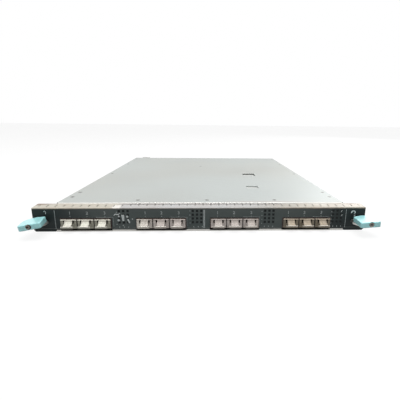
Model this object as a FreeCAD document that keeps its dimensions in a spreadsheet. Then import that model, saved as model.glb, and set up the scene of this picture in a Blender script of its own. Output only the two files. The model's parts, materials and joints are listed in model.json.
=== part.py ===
import FreeCAD, Part
import os
import Sketcher
from FreeCAD import Placement, Rotation, Vector

# Network interface module: a wide, flat line card with a formed front panel, twelve
# ports in four groups, two hinged handles and a sheet-metal body.
# X runs to the right, Y to the rear and Z up. The origin is the centre of the tray's
# underside, and lengths are millimetres.

DIMENSIONS = [
    ("half_depth", 270, "origin to the panel's front face, and to the tray's rear edge"),
    ("body_half", 200, "half the width over the top cover"),
    ("panel_half", 216, "half the width of the front panel"),
    ("panel_top", 31.75, "height of the front panel"),
    ("panel_wall", 1.5, "front panel sheet"),
    ("panel_flange", 14.5, "depth of the panel's top return"),
    ("panel_foot", 0.3, "underside of the panel's ends above the tray's underside"),
    ("panel_bend", 1.2, "outer radius of the panel's bend"),
    ("corner_cut", 2.2, "chamfer at the panel's lower corners"),
    ("stud_radius", 1.5, "studs behind the panel, and the screws of the cover"),
    ("stud_length", 5, "length of the studs behind the panel"),
    ("stud_low", 8, "height of the lower studs"),
    ("stud_high", 23, "height of the upper studs"),
    ("stud_inset", 8.5, "studs from the side of the body"),
    ("nut_wall", 2.4, "thickness of the nuts"),
    ("nut_flats", 5.5, "width of the nuts over their flats"),
    ("bolt_slack", 0.1, "radial gap round studs and screws"),
    ("lip_end", 28, "panel's ends to the bare lip under the panel"),
    ("lip_top", 2.4, "height of the bare lip"),
    ("lip_gap", 0.6, "gap between the lip and the painted panel above it"),
    ("lip_inset", 0.2, "bare lip behind the panel's front face"),
    ("tray_wall", 1.2, "tray sheet"),
    ("cover_wall", 1.2, "top cover sheet"),
    ("cover_top", 30, "height of the top cover's upper face"),
    ("cover_setback", 31.5, "panel's front face to the top cover's front edge"),
    ("cover_skirt", 9, "depth of the cover's side flanges"),
    ("cover_hem", 3.2, "depth of the cover's front hem"),
    ("cover_relief", 2.6, "side of the relief at the cover's front corners"),
    ("seam", 0.2, "gap between the cover's skirt and the tray's wall"),
    ("shelf_width", 14, "width of the tray's inward top flanges"),
    ("tab_width", 11, "width of the tray's front tabs behind the panel"),
    ("group_first", -149.9, "centre of the first port group"),
    ("group_pitch", 95.7, "from one port group to the next"),
    ("port_pitch", 21.3, "from one port to the next"),
    ("port_width", 19.2, "inside width of a port"),
    ("port_height", 11, "inside height of a port"),
    ("cage_wall", 0.6, "cage sheet"),
    ("cage_depth", 48, "length of a cage"),
    ("cage_proud", 0.5, "cage mouth in front of the panel"),
    ("shield_wall", 0.8, "spring frame round a cage"),
    ("shield_depth", 2.6, "depth of the spring frame"),
    ("tooth_pitch", 3, "from one tooth of the spring frame to the next"),
    ("tooth_slit", 1, "slit between two teeth"),
    ("cutout_slack", 0.3, "gap between spring frame and panel cut-out"),
    ("board_gap", 1.8, "tray floor to the board's underside"),
    ("board_wall", 2, "thickness of the circuit board"),
    ("board_side", 13.4, "gap between the board's side edges and the tray's walls"),
    ("board_front", 12, "panel's front face to the board's front edge"),
    ("board_rear", 8, "board's rear edge to the tray's rear edge"),
    ("socket_width", 15, "width of a port's host connector"),
    ("socket_rise", 7.5, "height of a port's host connector"),
    ("socket_depth", 9, "length of a port's host connector"),
    ("socket_slit", 12, "width of a host connector's slot"),
    ("socket_low", 3.8, "height of a host connector's slot above the board"),
    ("socket_open", 1.9, "height of a host connector's slot"),
    ("socket_deep", 6, "depth of a host connector's slot"),
    ("led_first", 12.2, "height of the lowest indicator row"),
    ("led_rise", 5.07, "from one indicator row to the next"),
    ("led_step", 5.5, "from one indicator column to the next"),
    ("led_side", 3, "side of one indicator"),
    ("led_slack", 0.1, "gap round one indicator"),
    ("led_recess", 0.15, "indicator face behind the panel's front face"),
    ("led_offset_1", 42.3, "first group's centre to its first indicator column"),
    ("led_offset_2", 41, "second group's centre to its first indicator column"),
    ("led_offset_3", 39.9, "third group's centre to its first indicator column"),
    ("led_offset_4", 35.4, "fourth group's centre to its first indicator column"),
    ("led_block", 6, "depth of the light guide behind the panel"),
    ("led_edge", 0.8, "light guide's rim round its indicators"),
    ("plug_slack", 0.15, "gap between a port cover's plug and its port"),
    ("plug_depth", 15, "how far a port cover reaches into its port"),
    ("plug_wall", 0.8, "port cover sheet"),
    ("face_gap", 1.3, "gap between two port covers"),
    ("face_thick", 1.6, "thickness of a port cover's face"),
    ("face_rim", 3.2, "rim beside the window of a port cover's face"),
    ("face_sill", 6.3, "plain part of a port cover's face below its window"),
    ("face_lip", 1.3, "rim above the window of a port cover's face"),
    ("strap_width", 9.5, "width of a pull tab's strap"),
    ("strap_reach", 7.5, "pull tab's reach in front of the port cover"),
    ("strap_wall", 1.1, "thickness of a pull tab"),
    ("strap_knee", 2.2, "pull tab's bend in front of the port cover"),
    ("strap_fall", 2, "drop of a pull tab from its bend to its bar"),
    ("bar_width", 15, "width of a pull tab's bar"),
    ("bar_low", 1.9, "pull tab's bar above the port cover's lower edge"),
    ("bar_rise", 2.8, "height of a pull tab's bar"),
    ("pivot_inset", 4.5, "handle pivot from the panel's end"),
    ("pivot_back", 7, "handle pivot behind the panel's front face"),
    ("grip_under", 14.5, "underside of the grips"),
    ("grip_rise", 7.2, "height of the grips"),
    ("grip_corner", 2.5, "radius of the grips' front corners"),
    ("grip_curve", 6, "radius of the grips' outer corners at the back"),
    ("grip_edge", 0.8, "rounding of the grips' long edges"),
    ("grip_front", 40.5, "pivot to the grips' front face"),
    ("grip_back", 14, "pivot to the grips' inner back corner"),
    ("grip_inner", 14.7, "pivot to the grips' inner side"),
    ("grip_outer", 10.8, "pivot to the grips' outer side"),
    ("grip_taper", 1, "slant of the grips' inner side, to each side of its middle"),
    ("grip_skew", 0.2, "grips' front face set back at its inner end"),
    ("grip_nose", 1.2, "grips' front outer corner inside the outer side"),
    ("grip_belly", 28, "pivot to the grips' widest place"),
    ("grip_hip", 17.8, "pivot to the back end of the grips' outer side"),
    ("grip_heel", 12.3, "pivot to the grips' back outer corner"),
    ("grip_heel_in", 5.4, "grips' back outer corner inside the outer side"),
    ("grip_toe", 10.1, "pivot to the rearmost point of the grips"),
    ("grip_toe_in", 2.2, "rearmost point of the grips from the pivot, inwards"),
    ("lever_wall", 2.5, "thickness of the steel levers"),
    ("neck_inner", 10, "pivot to the inner side of a lever's neck"),
    ("neck_outer", 4.2, "pivot to the outer side of a lever's neck"),
    ("claw_reach", 9, "pivot to the rear end of a lever's claw"),
    ("arm_reach", 27, "pivot to the front end of a lever's arm"),
    ("arm_inner", 15, "pivot to the inner corner of a lever's arm"),
    ("arm_back", 13.6, "pivot to the back of that corner"),
    ("arm_flat", 1.8, "length of that corner"),
    ("arm_neck", 11, "pivot to where a lever's arm widens"),
    ("arm_start", 8.6, "pivot to the back of a lever's bent arm"),
    ("arm_lap", 1, "length that a lever's neck and its bent arm share"),
    ("hub_web", 3.2, "half the width of the web between a lever's neck and hub"),
    ("lever_head", 2.5, "radius of the heads of the screws under the levers"),
    ("lever_bite", 2.4, "how far the screws reach into a grip"),
    ("hub_radius", 4, "radius of a lever's hub"),
    ("pin_radius", 2, "radius of the pivot pins"),
    ("pin_fit", 0.05, "radial gap between a pin and its lever"),
    ("pin_head", 3.2, "radius of a pivot pin's heads"),
    ("pin_cap", 0.8, "thickness of a pivot pin's heads"),
    ("ear_wall", 0.8, "thickness of the pivot brackets"),
    ("ear_gap", 0.25, "gap between a lever and its bracket's ears"),
    ("bracket_leg", 7.5, "bracket's fixing leg below its lower ear"),
    ("shelf_side", 0.6, "gap between the brackets' lower ears and the tray's walls"),
    ("shelf_reach", 15, "depth of the brackets' lower ears"),
    ("slot_slack", 0.8, "gap above and below a lever in the panel's slot"),
    ("slot_inner", 18, "panel's end to the inner end of a lever's slot"),
    ("slot_outer", 8, "panel's end to the outer end of a lever's slot"),
    ("screw_inset", 6.5, "captive screw from the panel's end"),
    ("screw_height", 18.2, "height of the captive screws"),
    ("screw_radius", 2.1, "radius of a captive screw's shank"),
    ("screw_head", 3.1, "radius of a captive screw's head"),
    ("screw_cap", 2.2, "thickness of a captive screw's head"),
    ("screw_sunk", 0.6, "captive screw's head behind the grip's front face"),
    ("screw_slack", 0.1, "radial gap round a captive screw"),
    ("screw_short", 4.5, "captive screw's end in front of the panel"),
    ("screw_drive", 3.8, "length of the cross recess in a captive screw"),
    ("screw_cross", 1, "width of the cross recess in a captive screw"),
    ("screw_hole", 2.5, "radius of the panel's holes for the captive screws"),
    ("left_open", 8, "how far the left handle stands open, in degrees"),
    ("left_bend", 8.5, "how far the left handle is bent out of level, in degrees"),
    ("right_bend", 4, "how far the right handle is bent out of level, in degrees"),
    ("finger_pitch", 10.5, "from one spring finger to the next"),
    ("finger_slit", 0.9, "width of the slits between spring fingers"),
    ("finger_wall", 0.3, "thickness of the spring strip"),
    ("finger_gap", 1, "fingers' tips to the top cover's front edge"),
    ("finger_lip", 1.4, "spring strip's lip down over the panel's front face"),
    ("finger_crest", 0.9, "height of the fingers' crest above the panel"),
    ("finger_drop", 1.6, "fingers' tips below the panel's upper face"),
    ("strip_end", 3, "panel's ends to the spring strip"),
    ("window_1_left", 80, "first cover window's left edge"),
    ("window_1_front", 246, "panel's front face to the first window"),
    ("window_1_wide", 25, "width of the first window"),
    ("window_1_deep", 28, "depth of the first window"),
    ("window_2_left", 73, "second cover window's left edge"),
    ("window_2_front", 127, "panel's front face to the second window"),
    ("window_2_wide", 20, "width of the second window"),
    ("window_2_deep", 18, "depth of the second window"),
    ("head_radius", 3, "radius of the countersunk heads in the cover"),
    ("head_depth", 1.1, "depth of the countersunk heads in the cover"),
    ("head_drive", 3, "length of the cross recess in the cover's screws"),
    ("head_cross", 0.6, "width of the cross recess in the cover's screws"),
    ("head_recess", 0.5, "depth of the cross recess in the cover's screws"),
    ("side_screw_1", 66, "panel's front face to the first side screws"),
    ("side_screw_2", 96, "panel's front face to the second side screws"),
    ("side_screw_3", 269, "tray's rear edge to the third side screws"),
    ("side_screw_4", 130, "tray's rear edge to the fourth side screws"),
    ("side_screw_5", 28, "tray's rear edge to the fifth side screws"),
    ("brace_front", 40, "panel's front face to the front brace"),
    ("brace_width", 15, "width of the braces' top flanges"),
    ("brace_leg", 9, "height of the braces' legs"),
    ("brace_screw", 98, "from one screw of the front brace to the next"),
    ("brace_shift", 5, "middle screw of the front brace from the centre"),
    ("pillar_x", -10.4, "cover pillar from the centre"),
    ("pillar_y", 376.6, "panel's front face to the cover pillar"),
    ("pillar_radius", 3.5, "radius of the cover pillar"),
    ("post_radius", 3, "radius of the board's standoffs"),
    ("post_floor", 0.2, "thickness left under the standoffs' holes"),
    ("post_head", 2.7, "radius of the heads of the board's screws"),
    ("post_cap", 1.5, "thickness of the heads of the board's screws"),
    ("post_side", 14, "outer standoffs from the board's side edges"),
    ("post_inner", 56, "inner standoffs from the centre"),
    ("post_front", 78, "panel's front face to the first standoffs"),
    ("post_rear", 52, "last standoffs to the tray's rear edge"),
    ("chip_side", 45, "side of a packet processor"),
    ("chip_rise", 3, "height of a packet processor"),
    ("chip_lid", 36, "side of a packet processor's lid"),
    ("chip_step", 1.5, "thickness of a packet processor's substrate"),
    ("chip_x", 62, "packet processors from the centre"),
    ("chip_y", 190, "panel's front face to the packet processors' centres"),
    ("sink_side", 76, "side of a heat sink"),
    ("sink_base", 3, "thickness of a heat sink's base"),
    ("sink_top", 27, "height of the heat sinks' fin tips"),
    ("fin_wall", 1, "thickness of a fin"),
    ("fin_pitch", 5, "from one fin to the next"),
    ("module_x", 120, "outermost power module from the centre"),
    ("module_wide", 36, "width of a power module"),
    ("module_deep", 58, "depth of a power module"),
    ("module_rise", 11, "height of a power module"),
    ("module_y", 330, "panel's front face to the power modules"),
    ("plane_wide", 96, "width of a backplane connector"),
    ("plane_deep", 26, "depth of a backplane connector"),
    ("plane_rise", 19, "height of a backplane connector"),
    ("plane_x", 92, "backplane connectors from the centre"),
    ("plane_proud", 6, "backplane connectors behind the tray's rear edge"),
    ("wafer_pitch", 7.6, "from one slot of a backplane connector to the next"),
    ("wafer_slit", 3.8, "width of a slot of a backplane connector"),
    ("wafer_deep", 9, "depth of a slot of a backplane connector"),
    ("slot_rim", 2, "wall above and below the slots of the rear connectors"),
    ("blade_wide", 54, "width of the power connector"),
    ("blade_rise", 15.2, "height of the power connector"),
    ("blade_pitch", 9.8, "from one blade slot to the next"),
    ("blade_slit", 2.4, "width of a blade slot"),
    ("blade_deep", 13, "depth of a blade slot"),
    ("guide_side", 29, "guide blocks from the sides of the body"),
    ("guide_wide", 20, "width of a guide block"),
    ("guide_deep", 30, "depth of a guide block"),
    ("guide_proud", 9, "guide blocks behind the tray's rear edge"),
    ("guide_rise", 22, "height of a guide block"),
    ("guide_bump", 31, "height of the left guide block's raised end"),
    ("guide_gap", 0.4, "gap between that raised end and the cover's rear edge"),
    ("guide_hole", 4, "radius of the guide holes"),
    ("guide_bore", 16, "depth of the guide holes"),
]

GROUPS = 4
PORTS = 3
LED_COLUMNS = 3
LED_ROWS = 4
SIDES = (("left", -1), ("right", 1))


class Size:
    """A number together with the sheet expression that gives it."""

    def __init__(self, value, text=None):
        self.value = float(value)
        self.text = "(%r)" % self.value if text is None else text

    @staticmethod
    def of(other):
        return other if isinstance(other, Size) else Size(other)

    def join(self, sign, other, value):
        return Size(value, "(%s %s %s)" % (self.text, sign, other.text))

    def __add__(self, other):
        other = Size.of(other)
        return self.join("+", other, self.value + other.value)

    def __sub__(self, other):
        other = Size.of(other)
        return self.join("-", other, self.value - other.value)

    def __mul__(self, other):
        other = Size.of(other)
        return self.join("*", other, self.value * other.value)

    def __truediv__(self, other):
        other = Size.of(other)
        return self.join("/", other, self.value / other.value)

    def __radd__(self, other):
        return Size(other) + self

    def __rsub__(self, other):
        return Size(other) - self

    def __rmul__(self, other):
        return Size(other) * self

    def __neg__(self):
        return Size(-1) * self


class Dimensions:
    """The sheet's cells, each as a Size under its alias."""


doc = FreeCAD.newDocument("interface_module")
sheet = doc.addObject("Spreadsheet::Sheet", "sizes")
d = Dimensions()
for row, (alias, value, note) in enumerate(DIMENSIONS, start=1):
    sheet.set("A%d" % row, str(value))
    sheet.setAlias("A%d" % row, alias)
    sheet.set("B%d" % row, note)
    setattr(d, alias, Size(value, "sizes." + alias))
doc.recompute()

# Levels and places that several pieces share
front = -d.half_depth
rear = d.half_depth
board_under = d.tray_wall + d.board_gap
board_top = board_under + d.board_wall
cover_under = d.cover_top - d.cover_wall
tray_half = d.body_half - d.cover_wall - d.seam
tray_inner = tray_half - d.tray_wall
board_half = tray_inner - d.board_side
shelf_under = cover_under - d.tray_wall
flange_under = d.panel_top - d.panel_wall
panel_low = d.lip_top + d.lip_gap
lip_half = d.panel_half - d.lip_end
panel_back = front + d.panel_wall
cover_front = front + d.cover_setback
cage_front = front - d.cage_proud
cage_half = d.port_pitch + d.port_width / 2 + d.cage_wall
cage_top = board_top + d.port_height + 2 * d.cage_wall
port_floor = board_top + d.cage_wall
shield_half = cage_half + d.shield_wall
shield_top = cage_top + d.shield_wall
cutout_half = shield_half + d.cutout_slack
cutout_top = shield_top + d.cutout_slack
pivot_x = d.panel_half - d.pivot_inset
pivot_y = front + d.pivot_back
lever_under = d.grip_under - d.lever_wall
led_offsets = (d.led_offset_1, d.led_offset_2, d.led_offset_3, d.led_offset_4)
side_screw_x = tray_half - d.shelf_width / 2
side_screws = (front + d.side_screw_1, front + d.side_screw_2, rear - d.side_screw_3,
               rear - d.side_screw_4, rear - d.side_screw_5)


def bind(thing, path, size):
    """Tie one property to the sheet."""
    thing.setExpression(path, Size.of(size).text)


def put(thing, x, y, z):
    """Bind a thing's place."""
    for letter, size in zip("xyz", (x, y, z)):
        bind(thing, "Placement.Base." + letter, size)


def box(name, x0, x1, y0, y1, z0, z1):
    """A block between two corners."""
    block = doc.addObject("Part::Box", name)
    bind(block, "Length", Size.of(x1) - x0)
    bind(block, "Width", Size.of(y1) - y0)
    bind(block, "Height", Size.of(z1) - z0)
    put(block, x0, y0, z0)
    return block


def rod(name, radius, length, x, y, z, along="z"):
    """A cylinder that starts at a point and runs along one axis."""
    turns = {
        "z": Rotation(),
        "y": Rotation(Vector(1, 0, 0), -90),
        "x": Rotation(Vector(0, 1, 0), 90),
    }
    cylinder = doc.addObject("Part::Cylinder", name)
    bind(cylinder, "Radius", radius)
    bind(cylinder, "Height", length)
    cylinder.Placement = Placement(Vector(), turns[along])
    put(cylinder, x, y, z)
    return cylinder


def cone(name, low_radius, high_radius, length, x, y, z):
    """An upright cone."""
    taper = doc.addObject("Part::Cone", name)
    bind(taper, "Radius1", low_radius)
    bind(taper, "Radius2", high_radius)
    bind(taper, "Height", length)
    put(taper, x, y, z)
    return taper


def bundle(name, pieces):
    """Separate solids kept together."""
    group = doc.addObject("Part::Compound", name)
    group.Links = pieces
    return group


def fuse(name, pieces):
    """One solid out of pieces that touch."""
    whole = doc.addObject("Part::MultiFuse", name)
    whole.Shapes = pieces
    whole.Refine = True
    return whole


def cut(name, base, tools):
    """A solid with the tools taken away."""
    taken = tools[0] if len(tools) == 1 else bundle(name + "_cuts", tools)
    left = doc.addObject("Part::Cut", name)
    left.Base = base
    left.Tool = taken
    return left


def outline(body, role, lift, points):
    """A closed sketch on one of the body's origin planes, every corner bound to the sheet."""
    sketch = body.newObject("Sketcher::SketchObject", body.Name + "_outline")
    plane = [part for part in body.Origin.OriginFeatures if part.Role == role][0]
    sketch.AttachmentSupport = [(plane, "")]
    sketch.MapMode = "FlatFace"
    bind(sketch, "AttachmentOffset.Base.z", lift)
    corners = [(Size.of(x), Size.of(y)) for x, y in points]
    count = len(corners)
    for index, (x, y) in enumerate(corners):
        after_x, after_y = corners[(index + 1) % count]
        start = Vector(x.value, y.value, 0)
        end = Vector(after_x.value, after_y.value, 0)
        sketch.addGeometry(Part.LineSegment(start, end), False)
    for index in range(count):
        sketch.addConstraint(Sketcher.Constraint("Coincident", index, 2, (index + 1) % count, 1))
    for index, corner in enumerate(corners):
        for kind, size in zip(("DistanceX", "DistanceY"), corner):
            place = sketch.addConstraint(Sketcher.Constraint(kind, -1, 1, index, 1, size.value))
            bind(sketch, "Constraints[%d]" % place, size)
    return sketch


def prism(name, role, lift, length, points):
    """A body padded from one sketch."""
    body = doc.addObject("PartDesign::Body", name)
    sketch = outline(body, role, lift, points)
    pad = body.newObject("PartDesign::Pad", name + "_pad")
    pad.Profile = sketch
    bind(pad, "Length", length)
    doc.recompute()
    return body


def edges_where(shape, keep):
    """Names of the straight edges whose middle and direction pass a test."""
    names = []
    for index, edge in enumerate(shape.Edges, start=1):
        if edge.Curve.TypeId != "Part::GeomLine":
            continue
        run = edge.Curve.Direction
        if keep(edge.CenterOfMass, run):
            names.append("Edge%d" % index)
    return names


def dress(body, kind, amount, keep):
    """A fillet or chamfer on the chosen edges of a body."""
    base = body.Tip
    feature = body.newObject("PartDesign::" + kind, body.Name + "_" + kind.lower())
    feature.Base = (base, edges_where(base.Shape, keep))
    bind(feature, "Radius" if kind == "Fillet" else "Size", amount)
    body.Tip = feature
    doc.recompute()
    return body


def near(first, second):
    return abs(first - Size.of(second).value) < 1e-4


def upright(run):
    return abs(run.z) > 0.9


def rising(first, second):
    """Two places in rising order."""
    return sorted((Size.of(first), Size.of(second)), key=lambda size: size.value)


def group_centre(group):
    return d.group_first + group * d.group_pitch


def port_centre(group, port):
    return group_centre(group) + (port - 1) * d.port_pitch


def led_column(group, column):
    return group_centre(group) + led_offsets[group] + column * d.led_step


def screw_spots():
    """Where screws go through the cover: beside both walls, on the brace and on the pillar."""
    spots = [(side * side_screw_x, y) for _, side in SIDES for y in side_screws]
    for step in (-1, 0, 1):
        spots.append((d.brace_shift + step * d.brace_screw, front + d.brace_front + d.brace_width / 2))
    spots.append((d.pillar_x, front + d.pillar_y))
    return spots


def stud_spots():
    inward = d.body_half - d.stud_inset
    return [(side * inward, height) for _, side in SIDES for height in (d.stud_low, d.stud_high)]


def post_spots():
    outer = board_half - d.post_side
    across = (-outer, -d.post_inner, d.post_inner, outer)
    first = front + d.post_front
    step = (rear - d.post_rear - first) / 2
    return [(x, first + row * step) for row in range(3) for x in across]


def front_panel():
    """Painted sheet with one bend, cut out for the ports, indicators, levers and screws."""
    profile = [
        (front, d.panel_foot),
        (front, d.panel_top),
        (front + d.panel_flange, d.panel_top),
        (front + d.panel_flange, flange_under),
        (panel_back, flange_under),
        (panel_back, d.panel_foot),
    ]
    sheet_body = prism("panel_sheet", "YZ_Plane", -d.panel_half, 2 * d.panel_half, profile)
    dress(sheet_body, "Fillet", d.panel_bend,
          lambda at, run: near(at.y, front) and near(at.z, d.panel_top) and abs(run.x) > 0.9)
    dress(sheet_body, "Chamfer", d.corner_cut,
          lambda at, run: near(at.z, d.panel_foot) and near(abs(at.x), d.panel_half) and abs(run.y) > 0.9)
    studs = [rod("panel_stud", d.stud_radius, d.stud_length, x, panel_back, z, "y")
             for x, z in stud_spots()]
    plate = fuse("panel_plate", [sheet_body] + studs)
    through = (front - 1, panel_back + 1)
    low_half = lip_half + d.lip_gap
    gaps = [box("lip_slot", -low_half, low_half, *through, d.panel_foot - 1, panel_low)]
    for group in range(GROUPS):
        middle = group_centre(group)
        gaps.append(box("port_notch", middle - cutout_half, middle + cutout_half, *through,
                        d.panel_foot - 1, cutout_top))
    holes = []
    reach = d.led_side / 2 + d.led_slack
    for group in range(GROUPS):
        for column in range(LED_COLUMNS):
            x = led_column(group, column)
            for level in range(LED_ROWS):
                z = d.led_first + level * d.led_rise
                holes.append(box("led_hole", x - reach, x + reach, *through, z - reach, z + reach))
    for _, side in SIDES:
        ends = rising(side * (d.panel_half - d.slot_inner), side * (d.panel_half - d.slot_outer))
        holes.append(box("lever_slot", *ends, *through, lever_under - d.slot_slack,
                         d.grip_under + d.slot_slack))
        holes.append(rod("screw_hole", d.screw_hole, d.panel_wall + 2,
                         side * (d.panel_half - d.screw_inset), front - 1, d.screw_height, "y"))
    opened = cut("panel_opened", plate, [fuse("panel_gaps", gaps)])
    return cut("front_panel", opened, holes)


def spring_strip():
    """Shielding strip over the panel's bend and return, slit into sprung fingers."""
    top = d.panel_top
    wall = d.finger_wall
    crest = front + d.panel_flange
    tip = cover_front - d.finger_gap
    low = top - d.finger_drop
    profile = [
        (front, top),
        (front, top - d.finger_lip),
        (front - wall, top - d.finger_lip),
        (front - wall, top + wall),
        (crest - d.finger_crest, top + d.finger_crest + wall),
        (crest + d.finger_crest * 2, top + d.finger_crest + wall),
        (tip, low + wall),
        (tip, low),
        (crest + d.finger_crest * 2 - wall, top + d.finger_crest),
        (crest - d.finger_crest + wall, top + d.finger_crest),
        (front + d.finger_crest * 3, top),
    ]
    half = d.panel_half - d.strip_end
    strip = prism("strip_sheet", "YZ_Plane", -half, 2 * half, profile)
    count = int((2 * half / d.finger_pitch).value) - 1
    slits = []
    for index in range(count):
        x = (index - (count - 1) / 2) * d.finger_pitch
        slits.append(box("finger_slit", x - d.finger_slit / 2, x + d.finger_slit / 2,
                         crest - d.finger_crest, tip + 1, low - 1, top + d.finger_crest + 1))
    return cut("spring_strip", strip, slits)


def tray():
    """Folded pan: floor, walls, inward flanges, front tabs and the bare lip."""
    wall = d.tray_wall
    inner = tray_half - d.shelf_width
    profile = [
        (-tray_half, 0), (tray_half, 0), (tray_half, cover_under), (inner, cover_under),
        (inner, shelf_under), (tray_inner, shelf_under), (tray_inner, wall), (-tray_inner, wall),
        (-tray_inner, shelf_under), (-inner, shelf_under), (-inner, cover_under),
        (-tray_half, cover_under),
    ]
    pan = prism("tray_pan", "XZ_Plane", -rear, rear - panel_back, profile)
    dress(pan, "Fillet", d.tray_wall,
          lambda at, run: near(at.z, 0) and near(abs(at.x), tray_half) and abs(run.y) > 0.9)
    tabs = []
    for _, side in SIDES:
        ends = rising(side * tray_inner, side * (tray_inner - d.tab_width))
        tabs.append(box("tray_tab", *ends, panel_back, panel_back + wall, wall, shelf_under))
    lip_front = front + d.lip_inset
    floor = box("lip_floor", -lip_half, lip_half, lip_front, panel_back, 0, wall)
    lip = box("lip_rise", -lip_half, lip_half, lip_front, lip_front + wall, 0, d.lip_top)
    folded = fuse("tray_folded", [pan, floor, lip] + tabs)
    openings = []
    for group in range(GROUPS):
        middle = group_centre(group)
        openings.append(box("lip_break", middle - cutout_half, middle + cutout_half,
                            front - 1, panel_back - 0.01, wall, d.lip_top + 1))
    for x, z in stud_spots():
        openings.append(rod("stud_hole", d.stud_radius + d.bolt_slack, wall + 2,
                            x, panel_back - 0.5, z, "y"))
    for _, side in SIDES:
        ends = rising(side * (inner - 1), side * tray_inner)
        openings.append(box("shelf_front_cut", *ends, panel_back - 1, cover_front + wall,
                            shelf_under, cover_under + 1))
    for x, y in screw_spots()[:2 * len(side_screws)]:
        openings.append(rod("shelf_hole", d.stud_radius + d.bolt_slack, wall + 2, x, y, shelf_under - 1))
    return cut("tray", folded, openings)


def top_cover():
    """Lid with side skirts, a front hem, two windows and countersunk holes."""
    half = d.body_half
    inner = half - d.cover_wall
    low = d.cover_top - d.cover_skirt
    profile = [
        (-half, low), (-half, d.cover_top), (half, d.cover_top), (half, low),
        (inner, low), (inner, cover_under), (-inner, cover_under), (-inner, low),
    ]
    lid = prism("cover_lid", "XZ_Plane", -rear, rear - cover_front, profile)
    dress(lid, "Fillet", d.cover_wall,
          lambda at, run: near(at.z, d.cover_top) and near(abs(at.x), half) and abs(run.y) > 0.9)
    hem_half = inner - d.shelf_width - d.cover_wall
    hem = box("cover_hem_fold", -hem_half, hem_half, cover_front, cover_front + d.cover_wall,
              d.cover_top - d.cover_hem, cover_under)
    whole = fuse("cover_whole", [lid, hem])
    cuts = []
    for left, start, wide, deep in (
            (d.window_1_left, d.window_1_front, d.window_1_wide, d.window_1_deep),
            (d.window_2_left, d.window_2_front, d.window_2_wide, d.window_2_deep)):
        cuts.append(box("cover_window", left, left + wide, front + start, front + start + deep,
                        cover_under - 1, d.cover_top + 1))
    for _, side in SIDES:
        ends = rising(side * (half - d.cover_relief), side * (half + 1))
        cuts.append(box("cover_corner", *ends, cover_front - 1, cover_front + d.cover_relief,
                        low - 1, d.cover_top + 1))
    sinks = []
    for x, y in screw_spots():
        bore = d.stud_radius + d.bolt_slack
        hole = rod("cover_hole", bore, d.cover_wall + 2, x, y, cover_under - 1)
        sink = cone("cover_sink", bore, d.head_radius + d.bolt_slack, d.head_depth, x, y,
                    d.cover_top - d.head_depth)
        sinks.append(fuse("cover_countersink", [hole, sink]))
    return cut("top_cover", cut("cover_windows", whole, cuts), sinks)


def cover_screws():
    """Countersunk screws of the top cover."""
    screws = []
    top = d.cover_top - d.bolt_slack / 2
    end = shelf_under - d.tray_wall
    reach = d.head_drive / 2
    thin = d.head_cross / 2
    for x, y in screw_spots():
        head = cone("screw_taper", d.stud_radius, d.head_radius, d.head_depth, x, y, top - d.head_depth)
        drive = box("screw_drive", x - reach, x + reach, y - thin, y + thin, top - d.head_recess, top + 1)
        cross = box("screw_drive_cross", x - thin, x + thin, y - reach, y + reach,
                    top - d.head_recess, top + 1)
        shank = rod("screw_shank", d.stud_radius, top - d.head_depth - end, x, y, end)
        blank = fuse("cover_screw_blank", [head, shank])
        screws.append(cut("cover_screw", blank, [fuse("screw_recess", [drive, cross])]))
    return bundle("cover_screws", screws)


def brace(name, start, width, spots):
    """Bent strip under the cover, from wall to wall, its leg seated under the tray's flanges."""
    between = tray_half - d.shelf_width - d.seam
    reach = tray_inner
    wall = d.tray_wall
    back = start + width
    flange = box(name + "_flange", -between, between, start, back, shelf_under, cover_under)
    leg = box(name + "_leg", -reach, reach, back - wall, back, cover_under - d.brace_leg, shelf_under)
    whole = fuse(name + "_bent" if spots else name, [flange, leg])
    holes = [rod(name + "_hole", d.stud_radius + d.bolt_slack, wall + 2, x, y, shelf_under - 1)
             for x, y in spots]
    return cut(name, whole, holes) if spots else whole


def cover_pillar():
    """Post between the board and the middle of the cover."""
    x, y = screw_spots()[-1]
    post = rod("pillar_post", d.pillar_radius, cover_under - board_top, x, y, board_top)
    bore = rod("pillar_bore", d.stud_radius + d.bolt_slack, d.pillar_radius * 2 + 1, x, y,
               cover_under - d.pillar_radius * 2)
    return cut("cover_pillar", post, [bore])


def main_board():
    """Circuit board with the ports' host connectors on its front edge."""
    board = box("board_blank", -board_half, board_half, front + d.board_front,
                rear - d.board_rear, board_under, board_top)
    holes = [rod("board_hole", d.stud_radius + d.bolt_slack, d.board_wall + 2, x, y, board_under - 1)
             for x, y in post_spots()]
    drilled = cut("board_drilled", board, holes)
    sockets = []
    back = cage_front + d.cage_depth - d.cage_wall - d.plug_slack
    for group in range(GROUPS):
        for port in range(PORTS):
            x = port_centre(group, port)
            half = d.socket_width / 2
            body = box("host_socket", x - half, x + half, back - d.socket_depth, back, board_top,
                       board_top + d.socket_rise)
            start = back - d.socket_depth
            low = board_top + d.socket_low
            slot = box("host_slot", x - d.socket_slit / 2, x + d.socket_slit / 2, start - 1,
                       start + d.socket_deep, low, low + d.socket_open)
            sockets.append(cut("host_connector", body, [slot]))
    return fuse("main_board", [drilled] + sockets)


def port_cage(group):
    """Ganged cage for three ports, open in front and over the host connectors."""
    middle = group_centre(group)
    back = cage_front + d.cage_depth
    shell = box("cage_shell", middle - cage_half, middle + cage_half, cage_front, back,
                board_top, cage_top)
    spaces = []
    for port in range(PORTS):
        x = port_centre(group, port)
        half = d.port_width / 2
        spaces.append(box("port_space", x - half, x + half, cage_front - 1, back - d.cage_wall,
                          port_floor, port_floor + d.port_height))
        near_half = d.socket_width / 2 + d.plug_slack
        spaces.append(box("socket_space", x - near_half, x + near_half,
                          back - d.cage_wall - d.socket_depth - 2 * d.plug_slack,
                          back - d.cage_wall, board_top - 1, port_floor + 1))
    return cut("port_cage_%d" % (group + 1), shell, [fuse("cage_spaces", spaces)])


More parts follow.
